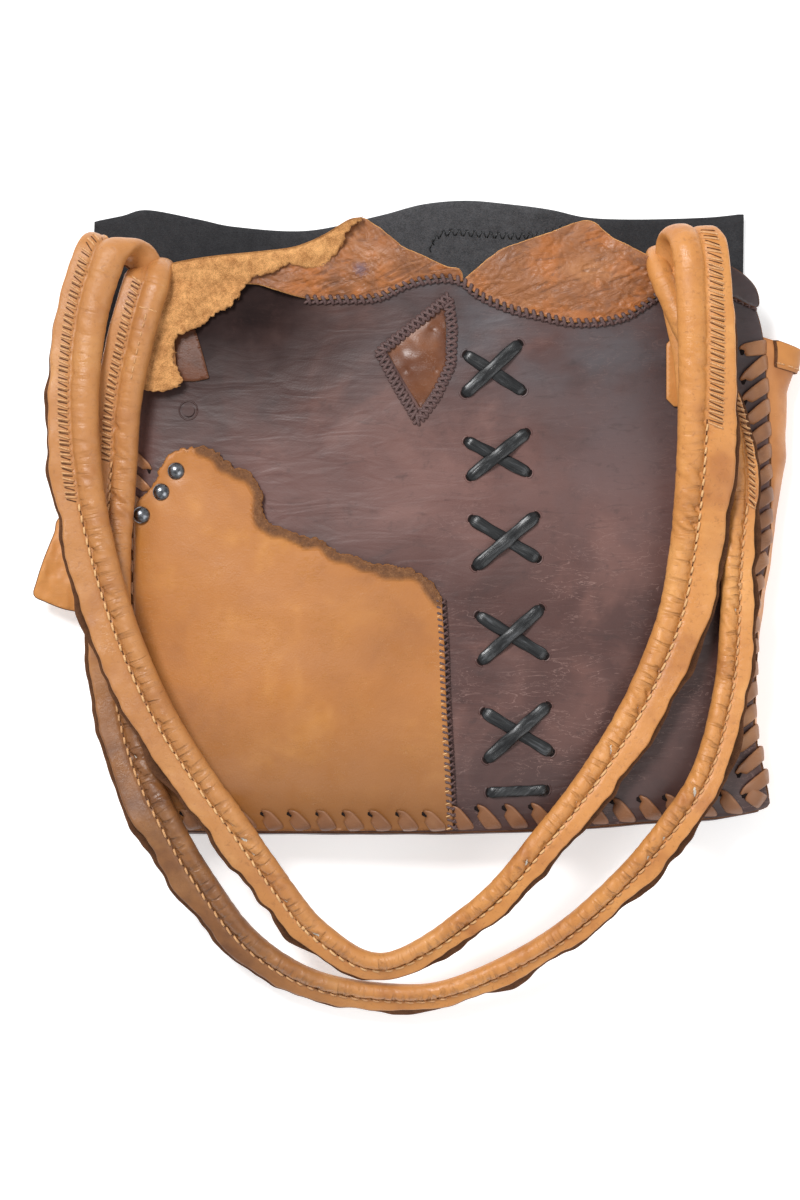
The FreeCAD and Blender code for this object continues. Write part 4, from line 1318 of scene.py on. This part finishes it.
class Strap:
    """Rolled leather strap with a stitched double flange, along a line with a side at each point."""

    def __init__(self, line, side, roll, total, height, seed, first=0.0, joins=(), calm=None):
        """roll, total and height are tables of share along the line against millimetres.

        first is the length already run before the line starts, and joins the lengths at which it
        meets the next piece: the strap is smoother there, and its end is tucked in. calm, where it
        is given, is how loose the leather is from end to end: 0 is smooth, 1 fully creased.
        """
        self.line = line
        self.along = unit(np.gradient(line, axis=0))
        self.side = unit(side - self.along * (side * self.along).sum(axis=1, keepdims=True))
        self.up = unit(np.cross(self.side, self.along))
        self.length = np.concatenate([[0], np.cumsum(np.linalg.norm(np.diff(line, axis=0), axis=1))])
        share = self.length / self.length[-1]
        self.roll = np.interp(share, *zip(*roll))
        self.total = np.interp(share, *zip(*total))
        self.high = np.interp(share, *zip(*height))
        self.seed = seed
        self.run = self.length + first
        away = np.min([abs(self.length - join) for join in joins], axis=0)
        self.tuck = 1 - 0.10 * np.maximum(1 - away / 3.0, 0) ** 2
        self.loose = np.clip(away / CREASE_WIDE, 0, 1) if calm is None else np.full(len(line), calm)

    def flange(self, i, across):
        """Height of the flange's middle plane: it waves along its free edge."""
        d = self.run[i]
        edge = min(max(across / 14, 0), 1.2) ** 2
        wave = 2.4 * soft(d, 0, 26, self.seed) + 1.4 * soft(d, 0, 11, self.seed + 1)
        loose = self.loose[i]
        return edge * (wave * min(self.total[i] / 26, 1.0) * (0.15 + 0.85 * loose) - 2.4 * (1 - loose))

    def spot(self, i, s, n):
        """A point s beside and n above the line at step i."""
        return self.line[i] + self.side[i] * s + self.up[i] * n

    def groove(self, i):
        return self.roll[i] - OUTER

    def section(self, i):
        """The outline across the strap at step i, as (s, n, shade) with shade 1 on a raw edge."""
        d, seed, loose = self.run[i], self.seed, self.loose[i]
        half, high = self.roll[i] / 2, self.high[i]
        centre = half - OUTER
        pucker = 0.5 + 0.5 * math.cos(2 * math.pi * d / SEAM_PITCH)
        points = []
        for k in range(ARC):
            turn = math.pi * (1.16 - 1.02 * k / (ARC - 1))
            crease = noise.fractal(Vector((d / 5.0, k * 0.16, seed)), 0.7, 2.2, 3)
            fold = clamp(2.2 * noise.noise(Vector(((d + 0.8 * k) / 4.6, k * 0.07, seed + 7)))) ** 1.5
            near_seam = (k / (ARC - 1)) ** 1.3
            deep = (0.2 + 0.8 * loose) * (0.55 + 1.2 * abs(soft(d, 0, 34, seed + 9)))
            grow = 1 + 0.03 * crease - 0.36 * fold * deep * (0.10 + 0.90 * near_seam)
            grow -= 0.06 * near_seam * (1 - pucker) * loose
            points.append((centre + half * math.cos(turn) * grow, high * math.sin(turn) * grow, 0))
        groove = self.groove(i)
        wavy = 0.25 + 0.75 * loose
        outer = self.total[i] - OUTER + wavy * (2.6 * soft(d, 0, 24, seed + 2) + 1.1 * soft(d, 0, 8, seed + 3))
        inner = outer - 0.3 + loose * (1.8 + max(0.0, 0.6 + 4.5 * soft(d, 0, 28, seed + 4)))
        wide = outer - groove
        thick = 2.1 * min(wide / 6.0, 1.0)
        if wide > 0.8:
            rows = [(0.02, 1.15 - 0.35 * (1 - pucker), 0), (0.12, thick * 0.85 + 0.15 * pucker, 0)]
            rows += [(share, thick + 0.10 * soft(d, share * 20, 5, seed + 5), 0) for share in
                     (0.25, 0.42, 0.6, 0.78, 0.9)]
            rows += [(0.975, thick * 0.88, 0), (1.0, thick * 0.5, 1), (0.99, 0.12, 1)]
            for share, n, shade in rows:
                s = groove + wide * share
                points.append((s, n + self.flange(i, s - groove), shade))
            lift = self.flange(i, wide)
            points.append((outer - 1.0, 0.0 + lift, 1))
            points.append((inner, -0.12 + lift, 1))
            points.append((inner + 0.1, -thick * 0.5 + lift, 1))
            points.append((inner - 0.5, -thick * 0.95 + lift, 1))
        else:
            points += [(groove + wide, 0.6 - 1.2 * k / (FILL - 1), 1) for k in range(FILL)]
        for share in (0.6, 0.25):
            s = groove + max(wide, 0) * share
            points.append((s, -thick + self.flange(i, s - groove), 0))
        points.append((groove, -min(thick, high * 0.5), 0))
        for k in range(1, 8):
            turn = -math.pi * (0.14 + 0.70 * k / 8)
            points.append((centre + half * math.cos(turn), high * math.sin(turn), 0))
        tuck = self.tuck[i]
        return [(centre + (s - centre) * tuck, n * tuck, shade) for s, n, shade in points]

    def skin(self, name, material, **settings):
        self.material = material
        verts, faces, shades = [], [], []
        rows = [self.section(i) for i in range(len(self.line))]
        around = len(rows[0])
        for i, row in enumerate(rows):
            verts += [self.spot(i, s, n) for s, n, unused in row]
        for i in range(len(rows) - 1):
            for k in range(around):
                a, b = i * around + k, i * around + (k + 1) % around
                faces.append((a, b, b + around, a + around))
                shades.append(rows[i][k][2])
        for end, turn in ((0, -1), (len(rows) - 1, 1)):
            faces.append(tuple(end * around + k for k in range(around))[::turn])
            shades.append(0)
        piece = make_piece(name, verts, faces, [material, RAW_EDGE_AND_SHADOW], shades, **settings)
        arc = [k / (ARC - 1) if k < ARC else 0.0 for k in range(around)] * len(rows)
        for key, values in (("run", np.repeat(self.run, around)), ("arc", arc)):
            piece.data.attributes.new(key, "FLOAT", "POINT").data.foreach_set("value", values)
        return piece

    def at(self, length):
        return int(np.argmin(abs(self.length - length)))

    def seam(self, bits, holes, start, end):
        """Running stitches in the groove between two lengths along the strap, each followed by a dark tube, the
        painted shadow of its holes.
        """
        d = start
        while d < end:
            i, j, k, m = (self.at(d + step) for step in (0, SEAM_STITCH, *SEAM_HOLE))
            s = 0.5
            bits.stitch(self.spot(i, self.groove(i) + s - 0.25, 1.5), self.spot(j, self.groove(j) + s + 0.35, 1.5),
                        0.64, 0.85, self.up[i])
            # Painted shadow of the stitch holes.
            holes.tube([self.spot(k, self.groove(k) + s, 1.15), self.spot(m, self.groove(m) + s, 1.15)], [0.42, 0.42],
                       8, 0.5, self.up[k])
            d += SEAM_PITCH

    def ladder(self, bits, holes, start, end, wide, lean):
        """Close slanted stitches across the flange, each with a thin dark stroke beside it, a painted shadow line."""
        d = start
        while d < end:
            i, j = self.at(d), self.at(d + lean)
            g, h = self.groove(i) + 0.6, self.groove(j) + 0.6 + wide
            top = 2.25 + self.flange(j, wide)
            bits.stitch(self.spot(i, g, 1.7), self.spot(j, h, top), 0.52, 0.65, self.up[i])
            k, m = self.at(d + 1.5), self.at(d + lean + 1.5)
            # Painted shadow line beside the stitch.
            holes.stitch(self.spot(k, g + 0.5, 1.75), self.spot(m, h - 0.5, top - 0.05), 0.34, 0.3, self.up[i])
            d += LADDER_PITCH

    def core(self, name, node):
        bits = Bits()
        line = np.array([self.spot(i, self.roll[i] / 2 - OUTER, 0) for i in range(0, len(self.line), 3)])
        radii = [min(4.0, self.roll[i] / 2 - 0.7) for i in range(0, len(self.line), 3)]
        bits.tube(line, radii, 10, 1.0, (0, 0.1, 1))
        return bits.piece(name, CORD, body=node.rsplit("_", 1)[0], replaces=[node], slot="cord_filler")


FRONT_LOOP = [(-159.7, 179.5, 56), (-168.0, 150, 56), (-172, 110, 57.5), (-170, 67, 57), (-162, 25, 56.5),
              (-150, -15, 57), (-133, -54, 57), (-113, -87, 56), (-93, -115, 54.5), (-69, -150, 45),
              (-54.5, -168.7, 40), (-34, -185, 36), (-20, -190, 34), (-7, -188, 34), (11, -178.2, 37.5),
              (24.5, -168, 41), (37.6, -157.6, 45), (50.8, -144, 50), (66, -124.8, 54), (90.5, -93.5, 53),
              (115, -54, 50), (133.5, -10, 49), (140.5, 25, 52), (144, 67, 61), (145, 110, 68), (144.5, 150, 71),
              (142.8, 181, 70)]
BACK_LOOP = [(-135, 170, 50), (-142, 146, 51), (-150, 108, 47), (-153, 67, 42), (-156, 25, 41.5),
             (-155, -18, 41.5), (-150, -58, 43), (-141, -89, 46), (-128, -116, 48.5), (-112, -144, 41),
             (-88, -177, 30), (-55, -199, 24), (-14, -207, 21.5), (22, -204, 22), (72, -179, 31),
             (111, -145, 43), (140, -109, 51), (155, -83, 47), (165, -44, 44), (168, -14, 43.5),
             (169.5, 25, 44), (172, 58, 46), (169, 88, 50), (158, 117, 54), (143, 146, 53.5), (131, 174, 50)]
FRONT_ROLL = [(0, 17), (0.12, 14.5), (0.22, 12.5), (0.42, 10), (0.52, 8.5), (0.6, 9.5), (0.7, 11), (0.82, 13),
              (0.9, 15), (1, 16.5)]
FRONT_TOTAL = [(0, 27.5), (0.12, 27), (0.25, 25), (0.42, 18.5), (0.52, 14.6), (0.6, 17), (0.7, 21.5), (0.8, 27),
               (0.88, 31), (0.95, 30.5), (1, 29.5)]
BACK_ROLL = [(0, 14), (0.15, 13), (0.3, 11), (0.5, 8.5), (0.7, 9.5), (0.85, 10), (1, 13)]
BACK_TOTAL = [(0, 25), (0.3, 23), (0.4, 18.5), (0.5, 14.8), (0.58, 15), (0.68, 17), (0.78, 18), (0.87, 16), (1, 17)]
ROLL_HIGH = [(0, 6.0), (0.2, 5.8), (0.5, 5.0), (0.8, 6.0), (1, 6.0)]


def knot(bits, at, up):
    at, up = np.array(at), np.array(up)
    for turn in (0.2, 1.3, 2.4):
        reach = np.array([math.cos(turn), math.sin(turn), 0]) * 1.1
        bits.stitch(at - reach, at + reach, 0.42, 0.9, up)


def handle(name, points, roll, total, seed, ladders, widths, material):
    """One moving loop with its cord, its running seam and a ladder of stitches at each end."""
    line = along_line(points, 1.2)
    for unused in range(LOOP_SMOOTHING):
        line[1:-1] = 0.5 * line[1:-1] + 0.25 * (line[:-2] + line[2:])
    along = unit(np.gradient(line, axis=0))
    side = np.cross(along, [lean_normal(y) for y in line[:, 1]])
    whole = float(np.linalg.norm(np.diff(line, axis=0), axis=1).sum())
    strap = Strap(line, side, roll, total, ROLL_HIGH, seed, joins=(0.0, whole))
    strap.skin(name + "_strap", material, body=name, replaces=[name + "_cover"], slot="handle_leather")
    strap.core(name + "_cord", name + "_core")
    seam, holes = Bits(), Bits()
    strap.seam(seam, holes, ladders[0] + 1, whole - ladders[1] - 3)
    seam.piece(name + "_seam_stitches", TAN_THREAD if material is STRAP else LADDER_THREAD, body=name,
               replaces=[name + "_seam_thread"], slot="tan_thread")
    for end, start, stop, wide, lean in (("left", 2, ladders[0], widths[0], -1.6),
                                         ("right", whole - ladders[1], whole - 3, widths[1], -3.0)):
        rungs = Bits()
        strap.ladder(rungs, holes, start, stop, wide, lean)
        rungs.piece(name + "_" + end + "_ladder", LADDER_THREAD, body=name,
                    replaces=[name + "_" + end + "_ladder_stitching"], slot="ladder_thread")
    # The dark tubes are painted shadow at the stitch holes.
    holes.piece(name + "_stitch_hole_shadows", RAW_EDGE_AND_SHADOW, body=name, slot="handle_leather")
    return strap


FRONT_KNOT, BACK_KNOT = 380, 172   # along the front loop from its start, and the back loop from its end


def handles():
    """Both loops, a knot in each one's seam, and the mends near the back one's start."""
    front = handle("front_handle", FRONT_LOOP, FRONT_ROLL, FRONT_TOTAL, 3.0, (125, 84), (6.6, 9.0), STRAP)
    back = handle("back_handle", BACK_LOOP, BACK_ROLL, BACK_TOTAL, 13.0, (95, 128), (6.0, 4.5), BACK_STRAP)
    knots = Bits()
    i = front.at(FRONT_KNOT)
    knot(knots, front.spot(i, front.groove(i), 2.0), front.up[i])
    knots.piece("front_handle_knot", TAN_THREAD, body="front_handle", slot="tan_thread")
    marks = Bits()
    i = back.at(back.length[-1] - BACK_KNOT)
    knot(marks, back.spot(i, back.groove(i), 2.0), back.up[i])
    d = 17.0
    while d < 52:
        i, j = back.at(d), back.at(d + 3.0)
        high = back.high[i] - 0.3
        marks.stitch(back.spot(i, 1.2, high), back.spot(j, 1.2, high), 0.42, 0.45, back.up[i])
        d += 4.6
    i = back.at(14)
    for start, end in (((-4.2, 3.9), (1, 5.9)), ((1, 5.9), (6.0, 3.9))):
        marks.stitch(back.spot(i, *start), back.spot(i, *end), 0.4, 0.5, back.up[i])
    marks.piece("back_handle_mend_stitches", LADDER_THREAD, body="back_handle", slot="ladder_thread")
    return {"front_handle": front, "back_handle": back}


LEFT_SIDE, RIGHT_SIDE = (-1, -0.1, 0), (1, 0.1, 0)
FOLDS = {
    "front_left": ([(-132, 124, 41.0), (-133, 142, 41), (-134.5, 160, 40), (-137, 173, 39.5), (-140, 183.5, 41.5),
                    (-146, 190.3, 47), (-153, 190, 53), (-158, 184.5, 56), (-161.5, 173, 56.1)],
                   LEFT_SIDE, (12, 12.5, 1.5), (17, 27.5, 6.0), (0.0455, 0.0505)),
    "front_right": ([(146, 106, 43), (144, 132, 42.8), (138, 158, 43), (134, 177, 44), (134, 189.5, 46.5),
                     (135.5, 196, 52), (138.5, 197, 60), (141.3, 190.5, 67), (142.8, 181, 70), (143.4, 172, 70.4)],
                    RIGHT_SIDE, (13, 14, 2.6), (16.5, 29.5, 6.0), (0.049, 0.062)),
    "back_left": ([(-124, 110, 10), (-124, 133, 12), (-127, 152, 17), (-130, 168, 23), (-132, 177.5, 29),
                   (-133.5, 181, 37), (-134, 178, 45), (-135.3, 169, 49.8), (-138, 160, 50.2)],
                  LEFT_SIDE, (13, 14, 2.6), (14, 25, 6.0), (0.031, 0.043)),
    "back_right": ([(124, 110, 10), (125, 133, 12), (129, 153, 18), (131, 172, 23.5), (130.5, 182, 28),
                    (129.5, 188, 35), (129, 185, 42), (130, 176, 48.5), (135, 164, 51.5)],
                   RIGHT_SIDE, (13, 14, 2.6), (13, 17, 6.0), (0.031, 0.043)),
}
FOLD_LADDERS = {"front_left": (6.6, -1.6), "front_right": (9.0, -3.0)}


def folds(straps):
    """Each strap's fixed end and the turn up into its loop, as one piece."""
    for name, (points, side, leg, loop, heights) in FOLDS.items():
        body = name.split("_")[0] + "_handle"
        goes_on = straps[body]
        on_left = side[0] < 0
        line = spline(points, 1.2)
        if not on_left:
            line = line[::-1]
        long = float(np.linalg.norm(np.diff(line, axis=0), axis=1).sum())
        overlap = float(np.linalg.norm(line[-1] - goes_on.line[0] if on_left else line[0] - goes_on.line[-1]))
        first = overlap - long if on_left else goes_on.length[-1] - overlap
        tables = []
        for start, end in zip(leg, loop):
            table = [(0, start), (0.42, start + (end - start) * 0.1), (0.66, start + (end - start) * 0.45),
                     (0.86, end), (1, end)]
            tables.append(table if on_left else [(1 - share, value) for share, value in table[::-1]])
        strap = Strap(line, np.array([side] * len(line), float), *tables, goes_on.seed, first,
                      [long if on_left else 0.0], 0.0)
        piece = strap.skin(name + "_strap_end", goes_on.material, body=None,
                           replaces=[name + "_fold", name + "_leg"], slot="handle_leather")
        pieces = [piece]
        if name in FOLD_LADDERS:
            rungs, rung_shadows = Bits(), Bits()
            start, stop = (long - 27, long - overlap + 1) if on_left else (overlap - 2, 25)
            strap.ladder(rungs, rung_shadows, start, stop, *FOLD_LADDERS[name])
            pieces.append(rungs.piece(name + "_fold_ladder", LADDER_THREAD, body=None, slot="ladder_thread"))
            # The thin dark strokes are painted shadow lines beside the rungs.
            pieces.append(rung_shadows.piece(name + "_fold_ladder_shadows", RAW_EDGE_AND_SHADOW, body=None, slot="handle_leather"))
        for piece in pieces:
            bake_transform(piece)


def anchors():
    for side, corners, thick, face in (
            ("left", [(-132, 120), (-116, 119.5), (-108.5, 121), (-112, 134), (-116, 147), (-132, 147)], 1.2, PATCH),
            ("right", [(134, 110), (138, 106), (158, 106), (158, 143), (138, 143), (134, 139)], 1.4, TAN)):
        cut_leather("front_" + side + "_tab", corners_kept(corners, 1.4), on_front(0.2), 1.6, thick,
                    [face, RAW_EDGE_AND_SHADOW, TAN], replaces=["front_" + side + "_anchor_tab"], slot="tan_leather")
    for side, x in (("left", -124), ("right", 124)):
        node = "back_" + side + "_anchor_tab"
        z = box_mm(node)[0][2]
        tab = corners_kept([(x - 14, 96), (x + 14, 96), (x + 14, 128), (x - 14, 128)], 1.6)
        cut_leather("back_" + side + "_tab", tab, lambda x, y, h: (x, y, z + h), 2.0, 2.0,
                    [TAN, RAW_EDGE_AND_SHADOW, TAN], replaces=[node], slot="tan_leather")
    ring = Bits()
    path = [(-119.5 + 4.9 * math.cos(a), 104 + 4.9 * math.sin(a)) for a in np.linspace(0, 2 * math.pi, 33)]
    ring.tube([lifted(spot, 0.05) for spot in path], [0.45] * 33, 8)
    ring.piece("stud_ring", BROWN, slot="brown_leather")


def repaint(node, material):
    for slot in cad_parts[node].material_slots:
        slot.material = material


# ---------------------------------------------------------------- the whole bag

make_camera()
make_stage()
back_panel()
base_panel()
gusset("left_gusset_skin", -1, LEFT_REACH, "left_gusset")
gusset_ears(gusset("right_gusset_skin", 1, RIGHT_REACH, "right_gusset"))
front_panel()
diamond()
left_lobe()
right_lobe()
corner_lobe()
facing_stitches()
black_lacing()
pocket()
pocket_stitches()
edge_lacing()
anchors()
folds(handles())
repaint("pocket_rivet_caps", METAL)
repaint("pocket_rivet_backs", METAL)
repaint("front_anchor_stud", BROWN)
